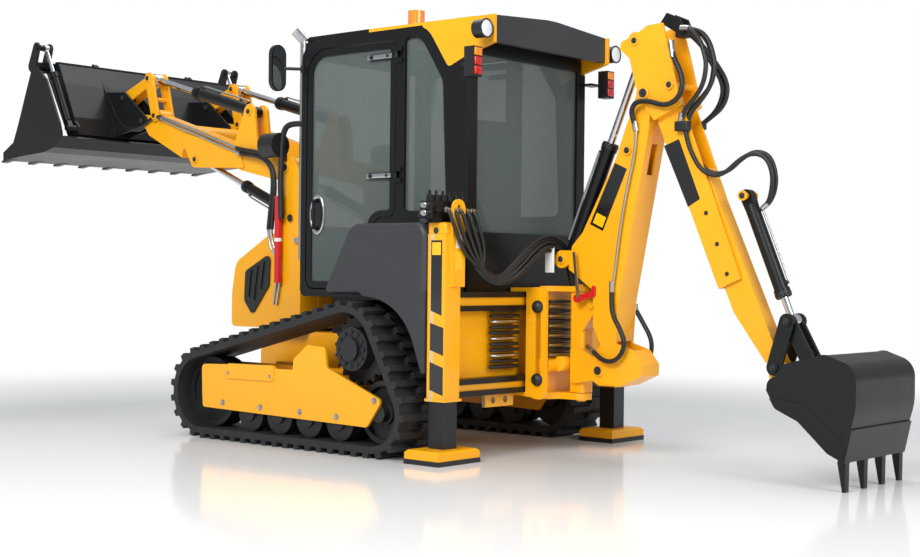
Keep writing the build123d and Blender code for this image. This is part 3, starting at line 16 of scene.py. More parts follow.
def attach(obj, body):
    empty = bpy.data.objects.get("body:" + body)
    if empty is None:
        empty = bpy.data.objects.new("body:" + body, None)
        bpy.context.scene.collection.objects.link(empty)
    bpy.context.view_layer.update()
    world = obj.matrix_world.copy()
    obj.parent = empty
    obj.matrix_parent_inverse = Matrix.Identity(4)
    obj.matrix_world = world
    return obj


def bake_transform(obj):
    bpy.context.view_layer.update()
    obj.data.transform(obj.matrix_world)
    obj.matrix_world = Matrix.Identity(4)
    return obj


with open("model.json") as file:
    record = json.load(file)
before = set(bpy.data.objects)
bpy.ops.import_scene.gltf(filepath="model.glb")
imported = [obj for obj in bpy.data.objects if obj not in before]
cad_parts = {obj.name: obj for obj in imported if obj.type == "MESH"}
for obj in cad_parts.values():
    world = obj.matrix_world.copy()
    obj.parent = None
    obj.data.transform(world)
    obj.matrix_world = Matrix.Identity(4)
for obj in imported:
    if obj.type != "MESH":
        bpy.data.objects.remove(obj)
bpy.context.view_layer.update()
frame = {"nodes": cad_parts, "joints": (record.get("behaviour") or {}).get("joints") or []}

print("CAD nodes", len(frame["nodes"]))

# %% [markdown]
# The places below are written in millimetres from the ground under the rear edge of the stabilizer pads, as
# on a drawing. The loader arm's pivot has a known x there, so its place in the frame gives the shift between
# the two.

# %% From drawing millimetres to scene metres
PIVOT_X = 1610.0
PIVOT_M = next(j["pos_m"][0] for j in frame["joints"] if j["name"] == "loader_lift")
KING_Y = -40.0          # the digging arm stands this far right of the middle
ARM_Y = 343.0           # middle of a loader arm


def place(x, y, z):
    return Vector(((x - PIVOT_X) / 1000 + PIVOT_M, y / 1000, z / 1000))


# %% [markdown]
# ## Finishes
# A material is a small network of nodes. `add` makes one node, sets its properties, and links or sets its
# inputs. Colours are written as they look on a screen, in sRGB, and one function turns them to the linear
# values that light is worked out with.

# %% Node and colour helpers
def linear(hex_colour):
    parts = [int(hex_colour[i:i + 2], 16) / 255 for i in (1, 3, 5)]
    return tuple(c / 12.92 if c <= 0.04045 else ((c + 0.055) / 1.055) ** 2.4 for c in parts) + (1.0,)


def add(tree, kind, inputs=None, **settings):
    node = tree.nodes.new(kind)
    for key, value in settings.items():
        setattr(node, key, value)
    for key, value in (inputs or {}).items():
        if isinstance(value, bpy.types.NodeSocket):
            tree.links.new(value, node.inputs[key])
        else:
            node.inputs[key].default_value = value
    return node


# %% [markdown]
# Every hard finish here is built the same way: a base colour that drifts a little, as paint and moulded
# parts do, a roughness that varies with handling, and a fine bump at the real grain of the surface. On sheet
# steel the Bevel node rounds the light on edges that are sharp in the CAD, and those edges are painted a
# lighter tint, partly as thin worn paint and partly as a painted edge highlight.

# %% The general finish
FACTOR, COLOUR_A, COLOUR_B, COLOUR_OUT = 0, 6, 7, 2      # sockets of a Mix node set to colour
CLOUD_SCALE = 3.5        # drift of the paint, patches of about 0.3 m
COAT_ROUGH = 0.06        # a clear coat is nearly a mirror
DUST = "#8d8a84"


def finish(name, colour, rough, metal=0.0, coat=0.0, drift=0.06, grain_mm=4.0, grain=0.08, edge_mm=2.5,
           edge_wear_and_highlight=None, dusty=0.0, shine=0.5, zones=()):
    """grain_mm: size of the fine bump; edge_mm: radius that the light sees on a sharp edge, 0 for none;
    edge_wear_and_highlight: lighter colour on sharp edges, partly wear and partly a painted edge highlight;
    dusty: how far the grey dust covers;
    zones: (axis, from_mm, to_mm, colour) bands along one axis of the drawing in another colour: other paint,
    and on the rear frame a painted highlight"""
    made = bpy.data.materials.new(name)
    made.use_nodes = True
    tree = made.node_tree
    tree.nodes.clear()
    where = add(tree, "ShaderNodeTexCoord").outputs["Object"]
    cloud = add(tree, "ShaderNodeTexNoise",
                {"Vector": where, "Scale": CLOUD_SCALE, "Detail": 5.0, "Roughness": 0.6})
    light = [min(1.0, c * (1 + 2 * drift)) for c in linear(colour)[:3]] + [1.0]
    dark = [c * (1 - 2 * drift) for c in linear(colour)[:3]] + [1.0]
    base = add(tree, "ShaderNodeMix", {FACTOR: cloud.outputs[0], COLOUR_A: dark, COLOUR_B: light},
               data_type="RGBA")
    tone = base.outputs[COLOUR_OUT]
    if zones:
        split = add(tree, "ShaderNodeSeparateXYZ", {0: where})
        for axis, low, high, other in zones:
            if axis == "X":
                low, high = place(low, 0, 0).x * 1000, place(high, 0, 0).x * 1000
            value = split.outputs[axis]
            if axis == "Y":
                value = add(tree, "ShaderNodeMath", {0: value}, operation="ABSOLUTE").outputs[0]
            above = add(tree, "ShaderNodeMath", {0: value, 1: low / 1000}, operation="GREATER_THAN")
            below = add(tree, "ShaderNodeMath", {0: value, 1: high / 1000}, operation="LESS_THAN")
            both = add(tree, "ShaderNodeMath", {0: above.outputs[0], 1: below.outputs[0]},
                       operation="MULTIPLY")
            tone = add(tree, "ShaderNodeMix",
                       {FACTOR: both.outputs[0], COLOUR_A: tone, COLOUR_B: linear(other)},
                       data_type="RGBA").outputs[COLOUR_OUT]
    fine = add(tree, "ShaderNodeTexNoise", {"Vector": where, "Scale": 1000 / grain_mm, "Detail": 2.0})
    shader_in = {"Metallic": metal, "Coat Weight": coat, "Coat Roughness": COAT_ROUGH,
                 "Specular IOR Level": shine}
    bump_in = {"Height": fine.outputs[0], "Strength": grain, "Distance": 0.001}
    if edge_mm:
        rounded = add(tree, "ShaderNodeBevel", {"Radius": edge_mm / 1000}, samples=4)
        bump_in["Normal"] = rounded.outputs[0]
        if edge_wear_and_highlight:
            # sharp edges are painted a lighter tint: partly wear, partly a painted edge highlight
            flat = add(tree, "ShaderNodeNewGeometry")
            turn = add(tree, "ShaderNodeVectorMath", {0: rounded.outputs[0], 1: flat.outputs["Normal"]},
                       operation="DOT_PRODUCT")
            edge = add(tree, "ShaderNodeMapRange", {"Value": turn.outputs["Value"], "From Min": 0.995,
                                                    "From Max": 0.9, "To Min": 0.0, "To Max": 0.55})
            tone = add(tree, "ShaderNodeMix",
                       {FACTOR: edge.outputs[0], COLOUR_A: tone, COLOUR_B: linear(edge_wear_and_highlight)},
                       data_type="RGBA").outputs[COLOUR_OUT]
    if dusty:
        dirt = add(tree, "ShaderNodeTexNoise",
                   {"Vector": where, "Scale": 9.0, "Detail": 6.0, "Roughness": 0.7})
        spots = add(tree, "ShaderNodeMapRange", {"Value": dirt.outputs[0], "From Min": 0.5, "From Max": 0.8,
                                                 "To Max": dusty})
        tone = add(tree, "ShaderNodeMix", {FACTOR: spots.outputs[0], COLOUR_A: tone,
                                           COLOUR_B: linear(DUST)}, data_type="RGBA").outputs[COLOUR_OUT]
    shader_in["Base Color"] = tone
    patch = add(tree, "ShaderNodeMapRange", {"Value": cloud.outputs[0], "To Min": rough * 0.85,
                                             "To Max": min(1.0, rough * 1.2)})
    shader_in["Roughness"] = patch.outputs[0]
    shader_in["Normal"] = add(tree, "ShaderNodeBump", bump_in).outputs[0]
    shader = add(tree, "ShaderNodeBsdfPrincipled", shader_in)
    add(tree, "ShaderNodeOutputMaterial", {"Surface": shader.outputs[0]})
    return made


# %% [markdown]
# The machine has few finishes. Its arms, rails and frames are sheet steel in a warm yellow wet enamel,
# sprayed and baked, so they are smooth with a faint orange peel and a clear gloss. The cab is black satin
# powder coat, coarser to the light. Buckets and their links are black enamel that has already dulled.

# %% Painted steel
YELLOW, BLACK, CHARCOAL = "#f2a803", "#0c0d0e", "#121315"
enamel_yellow = finish("enamel_yellow", YELLOW, 0.36, coat=0.25, drift=0.03, grain_mm=3.0, grain=0.05,
                       edge_wear_and_highlight="#fcc648")
powder_black = finish("powder_coat_black", BLACK, 0.34, coat=0.06, grain_mm=1.6, grain=0.06, edge_wear_and_highlight="#232527",
                      shine=0.3)
satin_black = finish("satin_moulding_black", "#303134", 0.45, grain_mm=1.4, grain=0.12, edge_wear_and_highlight="#3a3b3e")
enamel_charcoal = finish("enamel_charcoal", CHARCOAL, 0.38, coat=0.05, grain_mm=3.0, grain=0.06,
                         edge_wear_and_highlight="#2f3134", shine=0.3)
enamel_red = finish("enamel_red", "#c8101c", 0.35, coat=0.3, grain_mm=3.0, grain=0.05, edge_wear_and_highlight="#e4565c",
                    zones=(("Z", 1108, 1128, "#e9e2df"),))
# yellow enamel with a pale band from x 130.5 to 153 mm, which is a painted highlight: the light on the
# column's bevel beside its label
rail_enamel_with_painted_highlight = finish("rail_frame_enamel_painted_highlight", YELLOW, 0.36, coat=0.25, drift=0.03, grain_mm=3.0, grain=0.05,
                    edge_wear_and_highlight="#fcc648", zones=(("X", 130.5, 153, "#c9b48c"),))
leg_paint = finish("leg_enamel_and_rubber", "#15161a", 0.36, grain_mm=3.0, grain=0.1, edge_wear_and_highlight="#3a3c40",
                   zones=(("Z", 24.5, 71, YELLOW),))

# %% [markdown]
# Rubber is rough and grey-black with mould marks. Chrome rods mirror the room, zinc plate is duller, and
# cast wheels are sooty with a coarse sand-cast skin. Label film is smooth and glossier than the enamel under
# it. Fine grains are drawn at 1 to 6 mm, coarser than they are, so that they show at this distance.

# %% Rubber, bare metal and castings
track_rubber = finish("moulded_track_rubber", "#1c1d1f", 0.62, drift=0.15, grain_mm=5.0, grain=0.35,
                      edge_mm=3.0, edge_wear_and_highlight="#37393c", dusty=0.05)
hose_rubber = finish("hose_rubber", "#121314", 0.48, drift=0.12, grain_mm=2.5, grain=0.3, edge_mm=0)
cast_black = finish("sand_cast_iron_black", "#1b1c1e", 0.5, drift=0.12, grain_mm=2.2, grain=0.4,
                    edge_wear_and_highlight="#3a3b3e")
hard_chrome = finish("hard_chrome", "#d8dadd", 0.08, metal=1.0, drift=0.02, grain_mm=2.0, grain=0.01,
                     edge_mm=0)
zinc_steel = finish("zinc_plated_steel", "#b9bbb8", 0.28, metal=1.0, drift=0.08, grain_mm=1.5, grain=0.06,
                    edge_mm=1.0)
stainless = finish("stainless_tube", "#c4c5c7", 0.2, metal=1.0, drift=0.04, grain_mm=2.0, grain=0.03,
                   edge_mm=0)
wire_wound = finish("wire_wound_hose", "#8d7a4a", 0.35, metal=0.8, drift=0.2, grain_mm=6.0, grain=0.6,
                    edge_mm=0)
film_yellow = finish("label_film_yellow", "#f5b90c", 0.25, coat=0.6, drift=0.02, grain_mm=1.0, grain=0.03,
                     edge_mm=0)
film_white = finish("label_film_white", "#e8e8e4", 0.25, coat=0.6, drift=0.02, grain_mm=1.0, grain=0.03,
                    edge_mm=0)
film_black = finish("label_film_black", "#101113", 0.25, coat=0.6, drift=0.02, grain_mm=1.0, grain=0.03,
                    edge_mm=0)
cast_grey = finish("engine_cast_iron", "#55575a", 0.5, metal=0.4, drift=0.1, grain_mm=2.0, grain=0.4)
abs_black = finish("moulded_abs_black", "#141517", 0.42, drift=0.06, grain_mm=1.0, grain=0.25, edge_mm=1.5)
mirror_silver = finish("mirror_glass", "#c9d0d3", 0.04, metal=1.0, drift=0.01, grain_mm=9.0, grain=0.0,
                       edge_mm=0)

# %% [markdown]
# The seat is a woven cloth, matt all over. A strong bump at 1.4 mm, the width of a thread, stands for the
# weave, and the wide soft edge is the roll of the cushion.

# %% Seat cloth
seat_cloth = finish("woven_seat_cloth", "#26282b", 0.9, drift=0.1, grain_mm=1.4, grain=0.6, edge_mm=8.0)


# %% [markdown]
# Cab glass is a thin tinted sheet, green-grey. It lets about half of the light straight through, which is
# its alpha, and mirrors the room more at glancing angles. A very slow bump gives the slight wave of
# toughened glass. Lenses are moulded acrylic. Unlit, they look like coloured gloss, so they are opaque under
# a full clear coat.

# %% Glass and lenses
def pane(name, tint, clear):
    made = bpy.data.materials.new(name)
    made.use_nodes = True
    tree = made.node_tree
    tree.nodes.clear()
    where = add(tree, "ShaderNodeTexCoord").outputs["Object"]
    wave = add(tree, "ShaderNodeTexNoise", {"Vector": where, "Scale": 1.4, "Detail": 1.0})
    soft = add(tree, "ShaderNodeBump", {"Height": wave.outputs[0], "Strength": 0.05, "Distance": 0.02})
    body = add(tree, "ShaderNodeBsdfPrincipled", {"Base Color": linear(tint), "Roughness": 0.05, "IOR": 1.52,
                                                  "Normal": soft.outputs[0], "Alpha": 1.0 - clear})
    add(tree, "ShaderNodeOutputMaterial", {"Surface": body.outputs[0]})
    return made


cab_glass = pane("tinted_safety_glass", "#626c69", 0.46)
lens_clear = finish("lens_clear_acrylic", "#dfe3e6", 0.12, drift=0.03, grain_mm=5.0, grain=0.5, edge_mm=0,
                    coat=1.0)
lens_red = finish("lens_red_acrylic", "#b8070f", 0.15, drift=0.1, grain_mm=6.0, grain=0.4, edge_mm=0,
                  coat=1.0)
lens_amber = finish("lens_amber_acrylic", "#f28a0a", 0.12, drift=0.12, grain_mm=8.0, grain=0.5, edge_mm=0,
                    coat=1.0, zones=(("Z", 2230, 2268, "#9b9da0"),))

# %% [markdown]
# Each CAD node takes the finish of the real piece. The meshes stay as they are, and only the material slot
# is set.

# %% Finishes on the CAD nodes
FINISH_OF = {
    enamel_yellow: ("track_frames", "main_frame", "loader_towers", "bonnet", "cab_roof", "loader_arms",
                    "bell_cranks", "tilt_links", "carriage", "slew_actuator", "kingpost", "boom",
                    "dipper_outer", "dipper_inner"),
    rail_enamel_with_painted_highlight: ("rear_frame",),
    satin_black: ("rear_visor", "side_tanks"),
    powder_black: ("cab_frame", "valve_block", "door_left", "door_right", "side_shift_rails", "lift_barrels",
                   "tilt_barrels", "clam_barrels", "boom_barrel", "dipper_barrel", "bucket_barrel"),
    enamel_charcoal: ("shovel_back", "clam_jaw", "digging_bucket", "tipping_links", "bucket_link"),
    enamel_red: ("safety_strut", "boom_lock"),
    leg_paint: ("stabilizer_left", "stabilizer_right"),
    track_rubber: ("track_left", "track_right"),
    cast_black: ("rollers", "sprockets"),
    hard_chrome: ("lift_rods", "tilt_rods", "clam_rods", "boom_rod", "dipper_rod", "bucket_rod"),
    stainless: ("exhaust_stack",),
    cast_grey: ("engine_block",),
    abs_black: ("bonnet_grilles", "controls", "mirrors", "headlamps", "work_lamps", "tail_lamps"),
    seat_cloth: ("seat",),
    cab_glass: ("cab_glass", "door_glass_left", "door_glass_right"),
    lens_amber: ("beacon",),
}
dressed = set()
for material, names in FINISH_OF.items():
    for name in names:
        node = frame["nodes"].get(name)
        if node is None:
            continue
        node.data.materials.clear()
        node.data.materials.append(material)
        dressed.add(name)
print("nodes without a finish", sorted(set(frame["nodes"]) - dressed))


# %% [markdown]
# ## Making pieces
# `piece` turns a bmesh into an object: it merges doubles, turns the faces outwards, smooths what is round
# and keeps real edges sharp, and lets the piece ride on its body.

# %% Piece helpers
SHARP = math.radians(35)


def piece(name, bm, material, body):
    bmesh.ops.remove_doubles(bm, verts=bm.verts, dist=1e-6)
    bmesh.ops.recalc_face_normals(bm, faces=bm.faces)
    for face in bm.faces:
        face.smooth = True
    for edge in bm.edges:
        edge.smooth = len(edge.link_faces) == 2 and edge.calc_face_angle(0.0) < SHARP
    mesh = bpy.data.meshes.new(name)
    bm.to_mesh(mesh)
    bm.free()
    settle(name, mesh, material, body)


def settle(name, mesh, material, body, blend=None):
    obj = bpy.data.objects.new(name, mesh)
    bpy.context.scene.collection.objects.link(obj)
    mesh.materials.clear()
    mesh.materials.append(material)
    if blend:
        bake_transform(obj)
    else:
        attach(obj, body)


def stand(at, axis):
    """matrix that stands what was made along Z on a place in mm, along axis"""
    turn = Vector((0, 0, 1)).rotation_difference(Vector(axis)).to_matrix().to_4x4()
    return Matrix.Translation(place(*at)) @ turn


def turned(bm, profile, at, axis, steps=32):
    """profile: (radius, height) in mm from the foot upwards, turned round axis at a place in mm"""
    before = set(bm.verts)
    verts = [bm.verts.new((r / 1000, 0, h / 1000)) for r, h in profile]
    edges = [bm.edges.new(pair) for pair in zip(verts, verts[1:])]
    bmesh.ops.spin(bm, geom=verts + edges, cent=(0, 0, 0), axis=(0, 0, 1), angle=math.tau, steps=steps,
                   use_merge=True)
    new = [v for v in bm.verts if v not in before]
    bmesh.ops.transform(bm, matrix=stand(at, axis), verts=new)


def plate(bm, outline, low, high, axis="Y"):
    """outline: corners in mm in the plane across axis, pulled from low to high along it"""
    put = {"Y": lambda a, b, c: place(a, c, b), "X": lambda a, b, c: place(c, a, b),
           "Z": lambda a, b, c: place(a, b, c)}[axis]
    face = bm.faces.new([bm.verts.new(put(a, b, low)) for a, b in outline])
    pulled = bmesh.ops.extrude_face_region(bm, geom=[face])
    top = [v for v in pulled["geom"] if isinstance(v, bmesh.types.BMVert)]
    shift = put(outline[0][0], outline[0][1], high) - put(outline[0][0], outline[0][1], low)
    bmesh.ops.translate(bm, verts=top, vec=shift)


def block(bm, low, high, round_mm):
    """box between two corners in mm, with every edge rounded"""
    made = bmesh.ops.create_cube(bm, size=1.0)
    a, b = place(*low), place(*high)
    bmesh.ops.scale(bm, vec=[abs(q - p) for p, q in zip(a, b)], verts=made["verts"])
    bmesh.ops.translate(bm, vec=(a + b) / 2, verts=made["verts"])
    edges = {e for v in made["verts"] for e in v.link_edges}
    bmesh.ops.bevel(bm, geom=list(edges), offset=round_mm / 1000, segments=3, affect="EDGES", profile=0.5,
                    material=-1)


def hex_bolt(bm, at, axis, across, high):
    """hexagon head on a washer, by its width across corners and its height in mm"""
    made = bmesh.ops.create_cone(bm, cap_ends=True, segments=6, radius1=across / 2000, radius2=across / 2200,
                                 depth=high / 1000)
    ring = bmesh.ops.create_cone(bm, cap_ends=True, segments=16, radius1=across / 1500,
                                 radius2=across / 1550, depth=0.0025)
    lift = stand(at, axis)
    bmesh.ops.transform(bm, matrix=lift @ Matrix.Translation((0, 0, high / 2000 + 0.002)),
                        verts=made["verts"])
    bmesh.ops.transform(bm, matrix=lift @ Matrix.Translation((0, 0, 0.001)), verts=ring["verts"])


# %% [markdown]
# A hose is a NURBS line with a round section, which keeps every bend soft. It is turned into a mesh and
# rides on the body that carries it; one given two bodies that share a joint rides on neither and stays where
# it is drawn.

# %% Hose and pipe helper
def line_mesh(name, points, thick_mm):
    curve = bpy.data.curves.new(name + "_line", "CURVE")
    curve.dimensions = "3D"
    spline = curve.splines.new("NURBS")
    spline.points.add(len(points) - 1)
    for point, at in zip(spline.points, points):
        point.co = (*place(*at), 1.0)
    spline.order_u = 3
    spline.use_endpoint_u = True
    spline.resolution_u = 8
    curve.bevel_depth = thick_mm / 2000
    curve.bevel_resolution = 3
    curve.use_fill_caps = True
    drawn = bpy.data.objects.new(name + "_line", curve)
    mesh = bpy.data.meshes.new_from_object(drawn)
    bpy.data.objects.remove(drawn)
    mesh.name = name
    mesh.shade_smooth()
    return mesh


def hose(name, points, thick_mm, body, material=hose_rubber, blend=None):
    """blend: two bodies and the places in mm between which the hose would bend; only whether it is given is
    used, and then the hose rides on no body and stays where it is drawn
    """
    if blend:
        a, b, start, end = blend
        blend = (a, b, place(*start), place(*end))
    settle(name, line_mesh(name, points, thick_mm), material, body, blend)


# %% [markdown]
# ## Pins
# Each pivot shows a dark pin end with a small bolt in the boss of its plate. One table gives them all.

# %% Pin ends
BOOM_FACE, HEAD_FACE = 90.0, 110.0
PIN_ENDS = (      # body, middle y, half width over the pin heads, radius, (x, z) places
    ("chassis", ARM_Y, 80.0, 22.0, ((1610, 1535), (1560, 1243))),
    ("loader_arms", ARM_Y, 62.0, 15.0, ((2441, 1617),)),
    ("loader_arms", ARM_Y, 68.0, 15.0, ((1945, 1878),)),
    ("bell_cranks", ARM_Y, 74.0, 15.0, ((2832, 1907), (2899, 2146))),
    ("shovel_back", ARM_Y, 74.0, 15.0, ((2961, 1883), (3159, 2039))),
    ("boom", KING_Y, BOOM_FACE, 16.0, ((-94, 1016), (-500, 1563))),
    ("boom", KING_Y, BOOM_FACE, 22.0, ((-337, 449),)),
    ("dipper_outer", KING_Y, HEAD_FACE, 15.0, ((-550, 2106), (-757, 1871))),
    ("dipper_outer", KING_Y, HEAD_FACE, 22.0, ((-606, 1841),)),
    ("dipper_inner", KING_Y, 56.0, 15.0, ((-1140, 1321),)),
    ("tipping_links", KING_Y, 74.0, 15.0, ((-1322, 512), (-1386, 729))),
    ("digging_bucket", KING_Y, 100.0, 15.0, ((-1346, 424), (-1520, 482))),
)
caps = {}
for body, mid, half, radius, spots in PIN_ENDS:
    bm = caps.setdefault(body, bmesh.new())
    middles = (mid, -mid) if mid == ARM_Y else (mid,)
    for middle in middles:
        for x, z in spots:
            for side in (-1, 1):
                turned(bm, ((radius, 0), (radius, 2.5), (radius - 3, 4), (radius - 6, 3), (0, 3)),
                       (x, middle + side * half, z), (0, side, 0), 24)
                hex_bolt(bm, (x, middle + side * (half + 2), z), (0, side, 0), 11, 5)
for body, bm in caps.items():
    piece("pin_ends_" + body, bm, cast_black, body)

# %% [markdown]
# ## Lamps
# A work lamp is a round housing with a bright bowl and a domed lens. Its rim and lens are turned from a
# profile, which is how the real ones are spun and moulded. Work lamps and mirrors face the rear, headlamps
# the front.

# %% Lamp faces
WORK_LAMP_Y, HEADLAMP_Y, MIRROR_Y = 560, 466, 630
MIRROR_R, MIRROR_STRETCH = 0.047, 0.073      # a circle of this radius, pulled apart by this much each way
glass_bm, rim_bm = bmesh.new(), bmesh.new()
for y in (-WORK_LAMP_Y, WORK_LAMP_Y):
    turned(rim_bm, ((38, 0), (47, 0), (49, 3), (49, 9), (44, 10), (42, 6), (38, 6)), (2, y, 2158),
           (-1, 0, 0), 40)
    turned(glass_bm, ((43, 2), (41, 7), (32, 11), (18, 13.5), (0, 14)), (2, y, 2158), (-1, 0, 0), 40)
piece("work_lamp_rims", rim_bm, abs_black, "chassis")
piece("work_lamp_lenses", glass_bm, lens_clear, "chassis")
glass_bm = bmesh.new()
for y in (-HEADLAMP_Y, HEADLAMP_Y):
    turned(glass_bm, ((66, 0), (64, 7), (48, 14), (26, 18), (0, 19)), (1720, y, 1660), (1, 0, 0), 40)
piece("headlamp_lenses", glass_bm, lens_clear, "chassis")
TO_REAR = Matrix(((0, 0, -1, 0), (-1, 0, 0, 0), (0, 1, 0, 0), (0, 0, 0, 1)))     # local z looks to the rear
for side in (-1, 1):
    bm = bmesh.new()
    made = bmesh.ops.create_circle(bm, cap_ends=True, segments=48, radius=MIRROR_R)
    for v in made["verts"]:
        v.co.y += math.copysign(MIRROR_STRETCH, v.co.y)
    bmesh.ops.inset_region(bm, faces=bm.faces[:], thickness=0.006, depth=0.003)
    bmesh.ops.transform(bm, matrix=Matrix.Translation(place(1438.5, side * MIRROR_Y, 2069)) @ TO_REAR,
                        verts=bm.verts)
    piece(f"mirror_face_{'lr'[side < 0]}", bm, mirror_silver, "chassis")

# tail lamps: two red lenses and an amber one, each a crowned block on the housing
LAMP_ZS = ((1930, 1972, lens_red), (1977, 2019, lens_red), (2024, 2064, lens_amber))
for k, (low, high, lens) in enumerate(LAMP_ZS):
    bm = bmesh.new()
    for side in (-1, 1):
        block(bm, (33, side * 546, low), (40, side * 604, high), 5)
    piece(f"tail_lens_{k}", bm, lens, "chassis")

# %% [markdown]
# ## Hoses and pipes on the digging arm
# A steel pipe runs down the boom's plate, and rubber hoses bridge each joint with a slack loop, long enough
# for the arm to open. The hose over the elbow spans two bodies and stays where it is drawn, riding on
# neither.

# %% Boom and dipper hoses
HOSE_MM, PIPE_MM = 24, 15       # outer thickness of the usual hose and pipe
NEAR = 56.0                     # the boom's pipe lies this far left of the drawing's middle
hose("boom_pipe", [(-558, NEAR, 1667), (-559, NEAR, 1559), (-508, NEAR, 1369), (-469, NEAR, 1166),
                   (-437, NEAR, 922), (-424, NEAR, 844)], 14, "boom", zinc_steel)
hose("boom_foot_hose", [(-424, 56, 860), (-424, 60, 800), (-438, 64, 730), (-490, 70, 660), (-520, 72, 590),
                        (-488, 72, 525), (-434, 72, 496), (-371, 66, 508), (-315, 56, 544), (-262, 30, 566)],
     HOSE_MM, "boom", blend=("kingpost", "boom", (-300, 66, 540), (-450, 66, 500)))
hose("boom_rear_hose", [(-432, -148, 760), (-478, -152, 690), (-530, -152, 610), (-530, -150, 530),
                        (-480, -140, 480), (-420, -136, 470)], HOSE_MM, "boom")
hose("elbow_hose", [(-770, 72, 2080), (-785, 82, 2006), (-830, 88, 1940), (-853, 90, 1864), (-825, 92, 1792),
                    (-750, 92, 1765), (-655, 88, 1797), (-575, 84, 1800), (-540, 76, 1755), (-552, 64, 1700),
                    (-560, 56, 1660)], 26, "boom",
     blend=("boom", "dipper_outer", (-600, 80, 1790), (-780, 80, 1790)))
for k, (dy, dx) in enumerate(((0, 0), (30, 30), (58, 8))):
    hose(f"dipper_hose_{k}", [(-792, 26 - 0.7 * dy, 2150), (-850 - dx, 34 - dy, 2142),
                              (-914 - dx, 40 - dy, 2080), (-942 - dx, 44 - dy, 2010),
                              (-955 - dx, 46 - dy, 1950), (-938 - dx, 46 - dy, 1860),
                              (-885 - dx / 2, 46 - dy, 1790), (-822 - dx / 2, 44 - dy, 1735),
                              (-806 - dx / 2, 42 - dy, 1680)], HOSE_MM, "dipper_outer")
for k, dx in enumerate((0, 26)):
    hose(f"dipper_far_loop_{k}", [(-792, -66, 2128), (-830, -104, 2090), (-884 - dx, -134, 1973),
                                  (-925 - dx, -140, 1906), (-940 - dx, -140, 1843), (-917 - dx, -136, 1769),
                                  (-870, -130, 1716), (-826, -118, 1684)], HOSE_MM, "dipper_outer")
for k, dz in enumerate((0, 34)):
    hose(f"bucket_feed_{k}", [(-834, 44 - dz, 1664), (-850, 40 - dz, 1584), (-879, 38 - dz, 1520),
                              (-920, 36 - dz, 1455), (-990, 30 - dz, 1416 + dz / 3),
                              (-1055, 24 - dz, 1432 + dz / 3), (-1119, 16 - dz, 1490 + dz / 3),
                              (-1187, 8 - dz, 1524 + dz / 3), (-1262, 4 - dz, 1500 + dz / 3),
                              (-1294, 0 - dz, 1419), (-1286, -4 - dz, 1340), (-1254, -30 - dz / 3, 1282),
                              (-1222, -36 - dz / 4, 1262)], 22, "dipper_outer",
         blend=("dipper_outer", "dipper_inner", (-1000, 20, 1420), (-1200, 10, 1500)))
junctions = bmesh.new()
block(junctions, (-858, 20, 1642), (-786, 62, 1690), 4)
block(junctions, (-852, -134, 1660), (-798, -100, 1700), 4)
piece("hose_junctions", junctions, abs_black, "dipper_outer")

# %% [markdown]
# ## Hoses and pipes on the loader
# Two steel pipes climb the tower, hoses carry on over the pivot, and a pair of pipes lies along the arm.

# %% Loader hoses
TOWER_Y, PIPE_Y = 424, 404      # lines of the pipes on the tower and on the arm
for k in range(2):
    hose(f"tower_pipe_{k}", [(1742 - 28 * k, TOWER_Y, 1190), (1740 - 28 * k, TOWER_Y, 1088),
                             (1650 - 28 * k, TOWER_Y, 1000), (1664 - 28 * k, TOWER_Y, 900),
                             (1690 - 28 * k, TOWER_Y, 745)], PIPE_MM, "chassis", zinc_steel)
    hose(f"tower_hose_{k}", [(1742 - 30 * k, TOWER_Y, 1180), (1722 - 26 * k, 430, 1290),
                             (1690 - 20 * k, 436, 1450), (1712 - 10 * k, 438, 1556),
                             (1830 - 6 * k, 430, 1610 + 24 * k), (1960, 420, 1622 + 26 * k),
                             (2043, 412, 1640 + 26 * k)], HOSE_MM, "chassis",
         blend=("chassis", "loader_arms", (1650, 430, 1450), (1800, 430, 1600)))
    hose(f"arm_pipe_{k}", [(2030, PIPE_Y, 1637 + 26 * k), (2230, PIPE_Y, 1700 + 24 * k),
                           (2422, PIPE_Y, 1768 + 24 * k), (2620, PIPE_Y, 1828 + 22 * k),
                           (2762, PIPE_Y, 1880 + 16 * k)], PIPE_MM, "loader_arms", zinc_steel)

# %% [markdown]
# Hoses leave the arms for the clam rams in an open loop, one pair on each side, slack enough for the shovel
# to tip.

# %% Shovel hoses and the guard tube
for side in (-1, 1):
    for k in range(2):
        y = side * (372 + 26 * k)
        hose(f"shovel_hose_{'lr'[side < 0]}{k}", [(2762, side * PIPE_Y, 1880 + 16 * k), (2850, y, 1905),
                                                  (2960, y, 1848), (3080, y, 1822 + 10 * k), (3200, y, 1880),
                                                  (3300, y, 2010 + 20 * k), (3390, y, 2140),
                                                  (3470, y, 2262 + 14 * k), (3500, y, 2275)], 22,
             "loader_arms", blend=("loader_arms", "shovel_back", (2850, y, 1880), (3120, y, 1880)))
hose("guard_tube", [(1383, 452, 1765), (1534, 452, 1788), (1600, 452, 1730), (1608, 452, 1543),
                    (1612, 452, 1403), (1603, 452, 1239)], 34, "chassis")

# %% [markdown]
# ## Rams
# Each barrel carries a steel feed pipe from a port near its base pin to one behind the gland. One table
# gives the two pins of each ram, its barrel's length and radius, the sides it stands on, and on which side
# of the ram the pipe lies.

